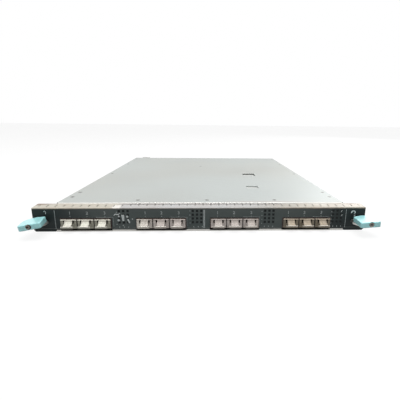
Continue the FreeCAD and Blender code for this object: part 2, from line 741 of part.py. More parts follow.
def cage_shield(group):
    """Spring frame between a cage and the panel's cut-out, slit into teeth along the top."""
    middle = group_centre(group)
    start = front - d.cage_proud / 2
    low = board_top - d.shield_wall
    frame = box("shield_frame", middle - shield_half, middle + shield_half, start,
                start + d.shield_depth, low, shield_top)
    hollow = box("shield_hollow", middle - cage_half, middle + cage_half, start - 1,
                 start + d.shield_depth + 1, board_top, cage_top)
    ring = cut("shield_ring", frame, [hollow])
    count = int((2 * cage_half / d.tooth_pitch).value)
    slits = []
    for index in range(count):
        x = middle + (index - (count - 1) / 2) * d.tooth_pitch
        slits.append(box("tooth_gap", x - d.tooth_slit / 2, x + d.tooth_slit / 2, start - 1,
                         start + d.shield_depth * 0.7, cage_top, shield_top + 1))
    return cut("cage_shield_%d" % (group + 1), ring, slits)


def port_cover(group, port):
    """Metal port cover: hollow plug, face with a window and a bent pull tab with a bar."""
    x = port_centre(group, port)
    half = d.port_width / 2 - d.plug_slack
    low = port_floor + d.plug_slack
    high = port_floor + d.port_height - d.plug_slack
    tail = cage_front + d.plug_depth
    plug = box("plug_shell", x - half, x + half, cage_front, tail, low, high)
    inside = box("plug_space", x - half + d.plug_wall, x + half - d.plug_wall, cage_front,
                 tail + 1, low + d.plug_wall, high - d.plug_wall)
    face_half = (d.port_pitch - d.face_gap) / 2
    face_low = board_top
    face_high = cage_top
    face_front = cage_front - d.face_thick
    face = box("cover_face", x - face_half, x + face_half, face_front, cage_front, face_low, face_high)
    window_top = face_high - d.face_lip
    window = box("face_window", x - face_half + d.face_rim, x + face_half - d.face_rim,
                 face_front - 1, cage_front + 2, face_low + d.face_sill, window_top)
    tab_front = face_front - d.strap_reach
    tab_back = tab_front + d.strap_wall
    bar_low = face_low + d.bar_low
    bar_top = bar_low + d.bar_rise
    root_top = window_top + d.strap_wall / 2
    knee = face_front - d.strap_knee
    knee_top = bar_top + d.strap_fall
    slope = [
        (face_front, root_top), (face_front, window_top), (knee, knee_top), (tab_front, bar_top),
        (tab_front, bar_top - d.strap_wall), (tab_back, bar_top - d.strap_wall),
        (knee + d.strap_wall, knee_top - d.strap_wall), (cage_front, window_top - d.strap_wall),
        (cage_front, root_top),
    ]
    strap = prism("pull_strap", "YZ_Plane", x - d.strap_width / 2, d.strap_width, slope)
    bar = box("pull_bar", x - d.bar_width / 2, x + d.bar_width / 2, tab_front, tab_back,
              bar_low, bar_top)
    blank = fuse("cover_blank", [plug, face])
    hollow = cut("cover_hollow", blank, [inside, window])
    return fuse("port_cover_%d_%d" % (group + 1, port + 1), [hollow, strap, bar])


def led_array(group):
    """Moulded light guide with twelve square pipes that fill the panel's holes."""
    reach = d.led_side / 2
    edge = reach + d.led_edge
    left = led_column(group, 0)
    right = led_column(group, LED_COLUMNS - 1)
    top = d.led_first + (LED_ROWS - 1) * d.led_rise
    block = box("guide_block", left - edge, right + edge, panel_back, panel_back + d.led_block,
                d.led_first - edge, top + edge)
    pipes = []
    for column in range(LED_COLUMNS):
        x = led_column(group, column)
        for level in range(LED_ROWS):
            z = d.led_first + level * d.led_rise
            pipes.append(box("guide_pipe", x - reach, x + reach, front + d.led_recess, panel_back,
                             z - reach, z + reach))
    return fuse("led_array_%d" % (group + 1), [block] + pipes)


def swing(side):
    """A handle's place at its pivot, the left one swung open."""
    opened = d.left_open if side < 0 else Size(0)
    place = (side * pivot_x).text, pivot_y.text, opened.text
    return "placement(vector(%s; %s; 0); rotation(vector(0; 0; 1); %s))" % place


def bend(side):
    """A handle's turn out of level, about the middle of its lever's neck."""
    turn = d.left_bend if side < 0 else d.right_bend
    neck = side * (d.neck_outer + d.neck_inner) / -2
    level = d.grip_under - d.lever_wall / 2
    place = turn.text, neck.text, level.text
    return "placement(vector(0; 0; 0); rotation(vector(0; -1; 0); %s); vector(%s; 0; %s))" % place


def seat(piece, *moves):
    """Put a piece drawn about the pivot in its place."""
    piece.setExpression("Placement", " * ".join(moves))
    return piece


def handle_grip(word, side):
    """Moulded grip with a curved outer corner, bored for its captive screw."""
    inner = -d.grip_inner
    outer = d.grip_outer
    points = [
        (inner + d.grip_taper, -d.grip_back),
        (inner - d.grip_taper, d.grip_skew - d.grip_front),
        (outer - d.grip_nose, -d.grip_front),
        (outer, -d.grip_belly),
        (outer, -d.grip_hip),
        (outer - d.grip_heel_in, -d.grip_heel),
        (-d.grip_toe_in, -d.grip_toe),
    ]
    mirrored = [(side * x, y) for x, y in points]
    body = prism("grip_%s_body" % word, "XY_Plane", d.grip_under, d.grip_rise, mirrored)
    dress(body, "Fillet", d.grip_corner,
          lambda at, run: upright(run) and at.y < -d.grip_belly.value - d.grip_corner.value)
    dress(body, "Fillet", d.grip_curve,
          lambda at, run: upright(run) and at.y > -d.grip_belly.value + 1 and side * at.x > 0)
    level = d.grip_under + d.grip_rise
    dress(body, "Fillet", d.grip_edge,
          lambda at, run: (near(at.z, level) or near(at.z, d.grip_under)) and abs(run.z) < 0.1)
    x = side * (d.pivot_inset - d.screw_inset)
    z = d.screw_height
    shank = rod("grip_bore", d.screw_radius + d.screw_slack, d.grip_front, x, -d.grip_front, z, "y")
    deep = d.screw_sunk + d.screw_cap + d.screw_slack
    recess = rod("grip_recess", d.screw_head + d.screw_slack, deep + 1, x, -d.grip_front - 1, z, "y")
    bores = [fuse("grip_bores", [shank, recess])]
    for spot_x, spot_y in lever_spots(side):
        bores.append(rod("grip_tapping", d.stud_radius + d.bolt_slack / 2, d.lever_bite + 1.2,
                         spot_x, spot_y, d.grip_under - 1))
    return seat(cut("handle_%s_grip" % word, body, bores), swing(side), bend(side))


def lever_spots(side):
    """The two screws that hold a lever in its grip."""
    x = side * (d.neck_outer + d.neck_inner) / -2
    return [(x, -d.grip_back), (x, d.hub_radius - d.arm_reach)]


def handle_lever(word, side):
    """Steel lever: neck through the panel, hub on the pin, claw, and a bent arm under the grip."""
    inner = -d.neck_inner
    outer = -d.neck_outer
    claw = d.claw_reach
    lip = d.lever_wall
    wide = outer + d.hub_radius
    neck_end = -d.arm_start - d.arm_lap
    neck_points = [
        (inner, claw), (outer, claw), (outer, claw - lip), (inner + lip, claw - lip),
        (inner + lip, d.hub_radius), (0, d.hub_web), (0, -d.hub_web), (outer, -d.hub_radius),
        (outer, neck_end), (inner, neck_end),
    ]
    arm_points = [
        (inner, -d.arm_start), (outer, -d.arm_start), (outer, -d.grip_back),
        (wide, -d.grip_back - d.hub_radius), (wide, -d.arm_reach), (inner, -d.arm_reach),
        (-d.arm_inner, -d.arm_back - d.arm_flat), (-d.arm_inner, -d.arm_back), (inner, -d.arm_neck),
    ]
    neck, arm = (prism("lever_%s_%s" % (word, kind), "XY_Plane", lever_under, d.lever_wall,
                       [(side * x, y) for x, y in points])
                 for kind, points in (("neck", neck_points), ("arm", arm_points)))
    hub = rod("lever_hub", d.hub_radius, d.lever_wall, 0, 0, lever_under)
    hole = rod("lever_hole", d.pin_radius + d.pin_fit, d.lever_wall + 2, 0, 0, lever_under - 1)
    level = cut("lever_level", fuse("lever_flat", [neck, hub]), [hole])
    tappings = [rod("lever_tapping", d.stud_radius + d.bolt_slack, d.lever_wall + 2, x, y, lever_under - 1)
                for x, y in lever_spots(side)]
    bent = seat(cut("lever_bent", arm, tappings), bend(side))
    return seat(fuse("handle_%s_lever" % word, [level, bent]), swing(side))


def lever_screws(word, side):
    """The small screws that hold a lever in its grip."""
    screws = []
    for x, y in lever_spots(side):
        head = rod("lever_screw_head", d.lever_head, d.pin_cap, x, y, lever_under - d.pin_cap)
        shank = rod("lever_screw_shank", d.stud_radius, d.lever_wall + d.lever_bite, x, y, lever_under)
        screws.append(fuse("lever_screw", [head, shank]))
    return seat(bundle("lever_screws_%s" % word, screws), swing(side), bend(side))


def captive_screw(word, side):
    """Long screw held in the grip, with a cross recess in its head."""
    x = side * (d.pivot_inset - d.screw_inset)
    start = -d.grip_front + d.screw_sunk
    z = d.screw_height
    head = rod("captive_head", d.screw_head, d.screw_cap, x, start, z, "y")
    length = d.grip_front - d.screw_sunk - d.pivot_back - d.screw_short
    shank = rod("captive_shank", d.screw_radius, length, x, start, z, "y")
    whole = fuse("captive_blank", [head, shank])
    wide = d.screw_drive / 2
    thin = d.screw_cross / 2
    deep = start + d.screw_cap / 2
    across = box("captive_across", x - wide, x + wide, start - 1, deep, z - thin, z + thin)
    upright = box("captive_upright", x - thin, x + thin, start - 1, deep, z - wide, z + wide)
    drive = fuse("captive_drive", [across, upright])
    return seat(cut("captive_screw_%s" % word, whole, [drive]), swing(side), bend(side))


def pivot_bracket(word, side):
    """Bracket behind the panel: an ear above the lever's hub, a wide one below and a fixing leg."""
    ear_top = d.grip_under + d.ear_gap
    ear_low = lever_under - d.ear_gap
    x = side * pivot_x
    half = d.hub_radius
    ends = rising(side * (pivot_x - half + 1), side * (pivot_x + half))
    base = box("bracket_base", *ends, panel_back, panel_back + d.ear_wall,
               ear_low - d.bracket_leg, ear_top + d.ear_wall)
    back = pivot_y + half
    upper = box("bracket_ear", *ends, panel_back, back, ear_top, ear_top + d.ear_wall)
    shelf_ends = rising(side * (tray_half + d.shelf_side), side * (pivot_x + half))
    shelf = box("bracket_shelf", *shelf_ends, panel_back, panel_back + d.shelf_reach,
                ear_low - d.ear_wall, ear_low)
    whole = fuse("bracket_folded", [base, upper, shelf])
    hole = rod("bracket_hole", d.pin_radius + d.pin_fit / 2, d.panel_top, x, pivot_y, 0)
    return cut("pivot_bracket_%s" % word, whole, [hole])


def pivot_pin(word, side):
    """Headed pin through the bracket's ears and the lever."""
    x = side * pivot_x
    high = d.grip_under + d.ear_gap + d.ear_wall
    low = lever_under - d.ear_gap - d.ear_wall
    shaft = rod("pin_shaft", d.pin_radius, high - low, x, pivot_y, low)
    upper = rod("pin_upper", d.pin_radius, d.pin_fit, x, pivot_y, high)
    lower = rod("pin_lower", d.pin_head, d.pin_cap, x, pivot_y, low - d.pin_cap)
    return fuse("pivot_pin_%s" % word, [shaft, upper, lower])


def panel_nuts():
    """Hexagon nuts on the panel's studs, behind the tray's tabs."""
    nuts = []
    start = panel_back + d.tray_wall
    for x, z in stud_spots():
        hexagon = doc.addObject("Part::Prism", "nut_blank")
        hexagon.Polygon = 6
        bind(hexagon, "Circumradius", d.nut_flats / 1.7320508)
        bind(hexagon, "Height", d.nut_wall)
        hexagon.Placement = Placement(Vector(), Rotation(Vector(1, 0, 0), -90))
        put(hexagon, x, start, z)
        hole = rod("nut_hole", d.stud_radius + d.bolt_slack / 4, d.nut_wall + 2, x, start - 1, z, "y")
        nuts.append(cut("panel_nut", hexagon, [hole]))
    return bundle("panel_nuts", nuts)


def board_standoffs():
    """Posts between the tray's floor and the board."""
    posts = []
    for x, y in post_spots():
        post = rod("post_blank", d.post_radius, d.board_gap, x, y, d.tray_wall)
        hole = rod("post_hole", d.stud_radius + d.bolt_slack, d.board_gap + 1, x, y,
                   d.tray_wall + d.post_floor)
        posts.append(cut("board_standoff", post, [hole]))
    return bundle("board_standoffs", posts)


def board_screws():
    """Screws through the board into its standoffs."""
    screws = []
    for x, y in post_spots():
        head = rod("board_screw_head", d.post_head, d.post_cap, x, y, board_top)
        shank = rod("board_screw_shank", d.stud_radius, d.board_wall + d.board_gap / 2, x, y,
                    board_under - d.board_gap / 2)
        screws.append(fuse("board_screw", [head, shank]))
    return bundle("board_screws", screws)


def processor(word, side):
    """Packet processor on the board."""
    half = d.chip_side / 2
    lid_half = d.chip_lid / 2
    x = side * d.chip_x
    y = front + d.chip_y
    step = board_top + d.chip_step
    base = box("chip_base", x - half, x + half, y - half, y + half, board_top, step)
    lid = box("chip_cap", x - lid_half, x + lid_half, y - lid_half, y + lid_half, step,
              board_top + d.chip_rise)
    return fuse("processor_%s" % word, [base, lid])


def heat_sink(word, side):
    """Finned block over a packet processor, its fins a linear pattern along X."""
    half = d.sink_side / 2
    x = side * d.chip_x
    y = front + d.chip_y
    low = board_top + d.chip_rise
    base_top = low + d.sink_base
    body = prism("heat_sink_%s" % word, "XY_Plane", low, d.sink_base,
                 [(x - half, y - half), (x + half, y - half), (x + half, y + half), (x - half, y + half)])
    sketch = outline(body, "XY_Plane", base_top,
                     [(x - half, y - half), (x - half + d.fin_wall, y - half),
                      (x - half + d.fin_wall, y + half), (x - half, y + half)])
    fin = body.newObject("PartDesign::Pad", "fin_%s" % word)
    fin.Profile = sketch
    bind(fin, "Length", d.sink_top - base_top)
    doc.recompute()
    rows = body.newObject("PartDesign::LinearPattern", "fins_%s" % word)
    rows.Originals = [fin]
    axis = [part for part in body.Origin.OriginFeatures if part.Role == "X_Axis"][0]
    rows.Direction = (axis, [""])
    count = int(((d.sink_side - d.fin_wall) / d.fin_pitch).value) + 1
    rows.Occurrences = count
    bind(rows, "Length", d.fin_pitch * (count - 1))
    body.Tip = rows
    return body


def power_modules():
    """Row of power converters behind the processors."""
    modules = []
    for step in range(4):
        x = -d.module_x + step * d.module_x * 2 / 3
        start = front + d.module_y
        modules.append(box("power_module", x - d.module_wide / 2, x + d.module_wide / 2,
                           start, start + d.module_deep, board_top, board_top + d.module_rise))
    return bundle("power_modules", modules)


def backplane_connector(word, side):
    """Signal connector at the rear edge, with a slot for each wafer."""
    half = d.plane_wide / 2
    x = side * d.plane_x
    back = rear + d.plane_proud
    block = box("plane_block", x - half, x + half, back - d.plane_deep, back, board_top,
                board_top + d.plane_rise)
    count = int((d.plane_wide / d.wafer_pitch).value)
    thin = d.wafer_slit / 2
    slots = []
    for step in range(count):
        at = x + (step - (count - 1) / 2) * d.wafer_pitch
        slots.append(box("plane_slot", at - thin, at + thin, back - d.wafer_deep, back + 1,
                         board_top + d.slot_rim, board_top + d.plane_rise - d.slot_rim))
    return cut("backplane_connector_%s" % word, block, slots)


def power_connector():
    """Blade connector in the middle of the rear edge."""
    half = d.blade_wide / 2
    back = rear + d.plane_proud
    top = board_top + d.blade_rise
    block = box("blade_block", -half, half, back - d.plane_deep, back, board_top, top)
    count = int((d.blade_wide / d.blade_pitch).value)
    thin = d.blade_slit / 2
    slots = []
    for step in range(count):
        at = (step - (count - 1) / 2) * d.blade_pitch
        slots.append(box("blade_slot", at - thin, at + thin, back - d.blade_deep, back + 1,
                         board_top + d.slot_rim, top - d.slot_rim))
    return cut("power_connector", block, slots)


def guide_socket(word, side):
    """Guide block at a rear corner, bored for the chassis's guide pin."""
    half = d.guide_wide / 2
    x = side * (d.body_half - d.guide_side)
    back = rear + d.guide_proud
    top = board_top + d.guide_rise
    pieces = [box("guide_body", x - half, x + half, back - d.guide_deep, back, board_top, top)]
    if side < 0:
        pieces.append(box("guide_raised", x - half, x + half, rear + d.guide_gap, back, top, d.guide_bump))
    whole = fuse("guide_whole", pieces) if len(pieces) > 1 else pieces[0]
    bore = rod("guide_bore_tool", d.guide_hole, d.guide_bore + 1, x, back - d.guide_bore,
               board_top + d.guide_rise / 2, "y")
    return cut("guide_block_%s" % word, whole, [bore])


parts = [front_panel(), spring_strip(), tray(), top_cover(), cover_screws()]
parts.append(brace("front_brace", front + d.brace_front, d.brace_width, screw_spots()[-4:-1]))
parts.append(brace("rear_brace", rear - d.brace_front - d.brace_width, d.brace_width, []))
parts += [cover_pillar(), main_board(), panel_nuts(), board_standoffs(), board_screws()]
parts += [power_modules(), power_connector()]
for group in range(GROUPS):
    parts += [port_cage(group), cage_shield(group), led_array(group)]
    parts += [port_cover(group, port) for port in range(PORTS)]
for word, side in SIDES:
    parts += [handle_grip(word, side), handle_lever(word, side), lever_screws(word, side)]
    parts += [captive_screw(word, side), pivot_bracket(word, side), pivot_pin(word, side)]
    parts += [processor(word, side), heat_sink(word, side)]
    parts += [backplane_connector(word, side), guide_socket(word, side)]
doc.recompute()

for item in doc.Objects:
    if "Invalid" in item.State or "Error" in item.State:
        raise RuntimeError("failed: " + item.Name)
for part in parts:
    if part.Shape.isNull() or not part.Shape.isValid():
        raise RuntimeError("bad shape: " + part.Label)

os.makedirs("parts", exist_ok=True)
for part in parts:
    part.Shape.exportStep(os.path.join("parts", part.Label + ".step"))
print("wrote", len(parts), "parts")
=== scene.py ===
import bmesh
import bpy
import json
import math
from mathutils import Matrix, Vector

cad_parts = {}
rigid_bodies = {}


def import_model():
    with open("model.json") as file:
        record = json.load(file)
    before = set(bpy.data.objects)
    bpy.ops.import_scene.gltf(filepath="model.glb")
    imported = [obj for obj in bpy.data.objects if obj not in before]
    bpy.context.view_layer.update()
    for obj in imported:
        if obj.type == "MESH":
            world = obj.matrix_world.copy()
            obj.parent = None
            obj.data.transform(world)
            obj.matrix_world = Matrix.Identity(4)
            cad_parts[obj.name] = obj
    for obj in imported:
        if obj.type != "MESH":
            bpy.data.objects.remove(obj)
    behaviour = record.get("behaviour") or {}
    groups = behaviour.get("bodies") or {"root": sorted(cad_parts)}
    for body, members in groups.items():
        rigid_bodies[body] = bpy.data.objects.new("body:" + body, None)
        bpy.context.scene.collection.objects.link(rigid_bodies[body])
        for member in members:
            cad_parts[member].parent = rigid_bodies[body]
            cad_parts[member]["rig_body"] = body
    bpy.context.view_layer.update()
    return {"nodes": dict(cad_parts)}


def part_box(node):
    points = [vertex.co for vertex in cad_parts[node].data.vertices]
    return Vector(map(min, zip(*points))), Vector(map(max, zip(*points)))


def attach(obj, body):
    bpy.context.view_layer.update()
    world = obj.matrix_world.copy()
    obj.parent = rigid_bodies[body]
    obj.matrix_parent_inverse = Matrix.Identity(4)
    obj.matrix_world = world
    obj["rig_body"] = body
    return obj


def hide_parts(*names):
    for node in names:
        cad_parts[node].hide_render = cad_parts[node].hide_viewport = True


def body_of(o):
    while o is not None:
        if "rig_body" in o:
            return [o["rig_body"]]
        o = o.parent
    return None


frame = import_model()
nodes = frame["nodes"]
mm = 0.001
panelLow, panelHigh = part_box("front_panel")
panelFront = panelLow.y
coverLow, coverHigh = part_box("top_cover")
coverFront = coverLow.y
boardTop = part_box("processor_left")[0].z
print("frame loaded with", len(nodes), "nodes")


# Small helpers for shader and geometry trees

def addNode(tree, kind, inputs=None, **settings):
    node = tree.nodes.new(kind)
    for key, value in settings.items():
        setattr(node, key, value)
    for key, value in (inputs or {}).items():
        if isinstance(value, bpy.types.NodeSocket):
            tree.links.new(value, node.inputs[key])
        else:
            node.inputs[key].default_value = value
    return node


def link(tree, value, socket):
    tree.links.new(value, socket)


def maths(tree, operation, first, second=0.0):
    return addNode(tree, "ShaderNodeMath", {0: first, 1: second}, operation=operation).outputs[0]


def times(tree, first, *others):
    for other in others:
        first = maths(tree, "MULTIPLY", first, other)
    return first


def vectorMaths(tree, operation, first, second=(0.0, 0.0, 0.0)):
    node = addNode(tree, "ShaderNodeVectorMath", {0: first, 1: second}, operation=operation)
    return node.outputs["Value" if operation == "LENGTH" else "Vector"]


def remap(tree, value, fromLow, fromHigh, toLow=0.0, toHigh=1.0, smooth=False):
    kind = "SMOOTHSTEP" if smooth else "LINEAR"
    limits = {"Value": value, "From Min": fromLow, "From Max": fromHigh, "To Min": toLow, "To Max": toHigh}
    return addNode(tree, "ShaderNodeMapRange", limits, interpolation_type=kind).outputs["Result"]


def blend(tree, first, second, *shares, mode="MIX"):
    # the second colour over the first, as strong as all its shares multiplied
    def full(colour):
        return (*colour, 1.0) if isinstance(colour, tuple) else colour
    mix = {0: times(tree, *shares), 6: full(first), 7: full(second)}
    return addNode(tree, "ShaderNodeMix", mix, data_type="RGBA", blend_type=mode).outputs[2]


def newTree(name, kind, inputs, outputs):
    tree = bpy.data.node_groups.new(name, kind)
    for label, value in inputs.items():
        named = isinstance(value, str)   # a kind of socket that holds no number
        socketKind = value if named else {tuple: "Vector", int: "Int", float: "Float"}[type(value)]
        socket = tree.interface.new_socket(name=label, in_out="INPUT",
                                           socket_type="NodeSocket" + socketKind)
        if not named:
            socket.default_value = value
    for label, socketKind in outputs.items():
        tree.interface.new_socket(name=label, in_out="OUTPUT", socket_type="NodeSocket" + socketKind)
    return tree, tree.nodes.new("NodeGroupInput").outputs, tree.nodes.new("NodeGroupOutput").inputs


def objectPlace(tree):
    return addNode(tree, "ShaderNodeTexCoord").outputs["Object"]


def placeParts(tree):
    return addNode(tree, "ShaderNodeSeparateXYZ", {0: objectPlace(tree)}).outputs


def noise(tree, place, scale, detail, rough=0.5):
    values = {"Vector": place, "Scale": scale, "Detail": detail, "Roughness": rough}
    return addNode(tree, "ShaderNodeTexNoise", values).outputs["Fac"]


# Effects that several finishes share

def makeFineGrain():
    sizes = {"Scale": 1000.0, "Stretch": (1.0, 1.0, 1.0)}
    tree, given, result = newTree("fineGrain", "ShaderNodeTree", sizes, {"Height": "Float"})
    pulled = vectorMaths(tree, "MULTIPLY", objectPlace(tree), given["Stretch"])
    link(tree, noise(tree, pulled, given["Scale"], 4.0, 0.55), result["Height"])
    return tree


def makeSoftClouds():
    sizes = {"Scale": 8.0, "Spread": 0.25, "Stretch": (1.0, 1.0, 1.0)}
    tree, given, result = newTree("softClouds", "ShaderNodeTree", sizes, {"Mask": "Float"})
    pulled = vectorMaths(tree, "MULTIPLY", objectPlace(tree), given["Stretch"])
    low = maths(tree, "SUBTRACT", 0.5, given["Spread"])
    high = maths(tree, "ADD", 0.5, given["Spread"])
    cloud = noise(tree, pulled, given["Scale"], 2.0)
    link(tree, remap(tree, cloud, low, high, smooth=True), result["Mask"])
    return tree


def makeEdgeRub():
    # a ragged line where the distance from an edge is small
    sizes = {"Distance": 1.0, "Width": 0.001, "Scale": 400.0}
    tree, given, result = newTree("edgeRub", "ShaderNodeTree", sizes, {"Mask": "Float"})
    uneven = noise(tree, objectPlace(tree), given["Scale"], 5.0, 0.65)
    ragged = times(tree, maths(tree, "SUBTRACT", uneven, 0.46), times(tree, given["Width"], 7.0))
    reach = maths(tree, "ADD", given["Distance"], ragged)
    link(tree, remap(tree, reach, given["Width"], 0.0), result["Mask"])
    return tree


def makeHairScratches():
    sizes = {"Scale": 60.0, "Turn": 0.4, "Rarity": 0.66}
    tree, given, result = newTree("hairScratches", "ShaderNodeTree", sizes, {"Mask": "Float"})
    place = objectPlace(tree)
    turned = addNode(tree, "ShaderNodeVectorRotate", {"Vector": place, "Angle": given["Turn"]},
                     rotation_type="Z_AXIS")
    pulled = vectorMaths(tree, "MULTIPLY", turned.outputs[0], (0.35, 22.0, 4.0))
    lines = noise(tree, pulled, given["Scale"], 1.0)
    patches = noise(tree, place, 14.0, 1.0)
    high = maths(tree, "ADD", given["Rarity"], 0.05)
    shown = times(tree, remap(tree, lines, given["Rarity"], high), remap(tree, patches, 0.45, 0.62))
    link(tree, shown, result["Mask"])
    return tree


def makeSpangle():
    tree, given, result = newTree("spangle", "ShaderNodeTree", {"Scale": 120.0}, {"Tone": "Float"})
    cells = addNode(tree, "ShaderNodeTexVoronoi", {"Vector": objectPlace(tree), "Scale": given["Scale"]})
    tone = addNode(tree, "ShaderNodeSeparateColor", {0: cells.outputs["Color"]})
    link(tree, tone.outputs[0], result["Tone"])
    return tree


fineGrain = makeFineGrain()
softClouds = makeSoftClouds()
edgeRub = makeEdgeRub()
hairScratches = makeHairScratches()
spangle = makeSpangle()


def useGroup(tree, group, values, output):
    return addNode(tree, "ShaderNodeGroup", values, node_tree=group).outputs[output]


def clouds(tree, scale, spread=0.25, stretch=(1.0, 1.0, 1.0)):
    return useGroup(tree, softClouds, {"Scale": scale, "Spread": spread, "Stretch": stretch}, "Mask")


def grain(tree, scale, stretch=(1.0, 1.0, 1.0)):
    return useGroup(tree, fineGrain, {"Scale": scale, "Stretch": stretch}, "Height")


def distanceTo(tree, coordinate, *places):
    nearest = None
    for place in places:
        gap = maths(tree, "ABSOLUTE", maths(tree, "SUBTRACT", coordinate, place))
        nearest = gap if nearest is None else maths(tree, "MINIMUM", nearest, gap)
    return nearest


def nearTo(tree, coordinate, place, outer, inner, smooth=False):
    # 1 within the inner distance of a place and 0 beyond the outer one
    return remap(tree, distanceTo(tree, coordinate, place), outer, inner, smooth=smooth)


def startFinish(name, **plain):
    material = bpy.data.materials.new(name)
    material.use_nodes = True
    tree = material.node_tree
    tree.nodes.clear()
    shader = addNode(tree, "ShaderNodeBsdfPrincipled")
    for key, value in plain.items():
        shader.inputs[key.replace("_", " ")].default_value = value
    output = addNode(tree, "ShaderNodeOutputMaterial")
    link(tree, shader.outputs[0], output.inputs[0])
    return material, tree


def closeFinish(material, colour, tone, rough, height, depth, strength=0.6):
    # the roughness follows the tone between two values, and the height makes the bump
    tree = material.node_tree
    shader = tree.nodes["Principled BSDF"].inputs
    link(tree, colour, shader["Base Color"])
    link(tree, remap(tree, tone, 0.0, 1.0, *rough), shader["Roughness"])
    bump = addNode(tree, "ShaderNodeBump", {"Height": height, "Distance": depth, "Strength": strength})
    link(tree, bump.outputs[0], shader["Normal"])
    return material


# Finishes

paintLook = {"end": (0.002, 0.007, 0.008), "middle": (0.060, 0.076, 0.074), "dustAndSheen": (0.100, 0.116, 0.113),
             "bare": (0.32, 0.31, 0.28), "rub": (0.17, 0.18, 0.17), "rubLine": 4.4 * mm,
             "rubWidth": (0.35 * mm, 0.15 * mm), "rubShare": 0.8,
             "fade": (0.11, 0.20), "dustAndSheenShare": (0.55, 0.12), "band": (23 * mm, 31 * mm),
             "bandShare": 0.6, "wornWidth": 0.25 * mm, "rough": (0.42, 0.55)}


def panelPaint():
    # grey in the middle, lightened there by a painted sheen and dust, most in an upper band, near black at
    # the ends, bare where edges are worn
    look = paintLook
    material, tree = startFinish("panelPaint", Specular_IOR_Level=0.25)
    x, _, z = placeParts(tree)
    soft = clouds(tree, 22.0, 0.2, (0.4, 1.0, 1.6))
    outward = remap(tree, maths(tree, "ABSOLUTE", x), *look["fade"], smooth=True)
    # the lighter grey in the middle is a painted reflection
    paint = blend(tree, look["middle"], look["end"], outward)
    dustAndSheenAmount = remap(tree, outward, 0.0, 1.0, *look["dustAndSheenShare"])
    paint = blend(tree, paint, look["dustAndSheen"], soft, dustAndSheenAmount)
    inward = maths(tree, "SUBTRACT", 1.0, outward)
    upper = remap(tree, z, *look["band"])
    # painted sheen and dust over the upper band in the middle
    paint = blend(tree, paint, look["dustAndSheen"], upper, inward, look["bandShare"])
    rub = nearTo(tree, z, look["rubLine"], *look["rubWidth"])
    paint = blend(tree, paint, look["rub"], rub, look["rubShare"])
    edge = maths(tree, "MINIMUM", distanceTo(tree, z, panelHigh.z, panelLow.z),
                 distanceTo(tree, x, panelLow.x, panelHigh.x))
    values = {"Distance": edge, "Width": look["wornWidth"], "Scale": 260.0}
    paint = blend(tree, paint, look["bare"], useGroup(tree, edgeRub, values, "Mask"))
    return closeFinish(material, paint, soft, look["rough"], grain(tree, 2600.0), 0.03 * mm)


def sheetMetal(name, dark, light, rough=(0.3, 0.45), cells=90.0, brushed=(1.0, 1.0, 1.0), metal=1.0):
    material, tree = startFinish(name, Metallic=metal)
    tone = useGroup(tree, spangle, {"Scale": cells}, "Tone")
    both = maths(tree, "ADD", times(tree, tone, 0.3), times(tree, clouds(tree, 9.0), 0.7))
    scratched = useGroup(tree, hairScratches, {"Scale": 40.0}, "Mask")
    base = blend(tree, blend(tree, dark, light, both), light, scratched, 0.35)
    height = maths(tree, "SUBTRACT", grain(tree, 1400.0, brushed), scratched)
    return closeFinish(material, base, both, rough, height, 0.012 * mm, 0.4)


coverLook = {"dark": (0.44, 0.455, 0.43), "light": (0.50, 0.51, 0.48), "coolReflection": (0.455, 0.50, 0.50),
             "scratch": (0.36, 0.36, 0.34), "warmLine": (0.50, 0.35, 0.33), "bare": (0.80, 0.78, 0.74),
             "warmLineDepth": 7.0 * mm, "warmLineWidth": (1.6 * mm, 0.2 * mm), "warmLineMiddle": 85 * mm,
             "warmLineReach": (75 * mm, 20 * mm), "highlightWidth": (1.4 * mm, 0.9 * mm),
             "edgeRound": 0.8 * mm, "rough": (0.45, 0.55)}


def coverMetal():
    # grey sheet with painted cool reflections, a warm line near its front and a painted highlight along its
    # front edge
    look = coverLook
    material, tree = startFinish("coverMetal", Metallic=0.5)
    x, y, _ = placeParts(tree)
    soft = clouds(tree, 5.0, 0.3)
    scratched = useGroup(tree, hairScratches, {"Scale": 26.0, "Rarity": 0.64}, "Mask")
    base = blend(tree, look["dark"], look["light"], soft)
    # patches of painted cool reflection
    base = blend(tree, base, look["coolReflection"], clouds(tree, 3.2, 0.2), 0.6)
    base = blend(tree, base, look["scratch"], scratched, 0.3)
    # a warm line a little behind the front edge, over part of the width
    depth = maths(tree, "SUBTRACT", y, coverFront)
    line = nearTo(tree, depth, look["warmLineDepth"], *look["warmLineWidth"], smooth=True)
    part = nearTo(tree, x, look["warmLineMiddle"], *look["warmLineReach"], smooth=True)
    base = blend(tree, base, look["warmLine"], line, part, 0.7)
    # a painted highlight along the front edge, in the colour named bare
    base = blend(tree, base, look["bare"], nearTo(tree, depth, 0.0, *look["highlightWidth"]))
    height = maths(tree, "SUBTRACT", grain(tree, 900.0, (1.0, 0.2, 1.0)), scratched)
    return closeFinish(material, base, soft, look["rough"], height, 0.015 * mm, 0.3)


stripLook = {"left": (0.57, 0.54, 0.455), "middle": (0.50, 0.50, 0.497), "right": (0.33, 0.31, 0.26),
             "stain": (0.42, 0.33, 0.26), "brown": (0.20, 0.12, 0.08), "bright": (0.95, 0.94, 0.90),
             "shadow": (0.10, 0.09, 0.085), "lip": (0.10, 0.10, 0.085), "rough": (0.3, 0.42),
             "leftFade": (-104 * mm, -114 * mm), "rightFade": (40 * mm, 140 * mm),
             "brightPlace": -111 * mm, "brightReach": (7 * mm, 3 * mm), "brightFade": (12 * mm, 8 * mm),
             "crest": 15 * mm, "crestWidth": (3.0 * mm, 2.2 * mm), "crestReach": (114 * mm, 95 * mm),
             "lipFade": (31.6 * mm, 31.2 * mm), "brownReach": 12 * mm, "brownFade": (8 * mm, 15 * mm)}


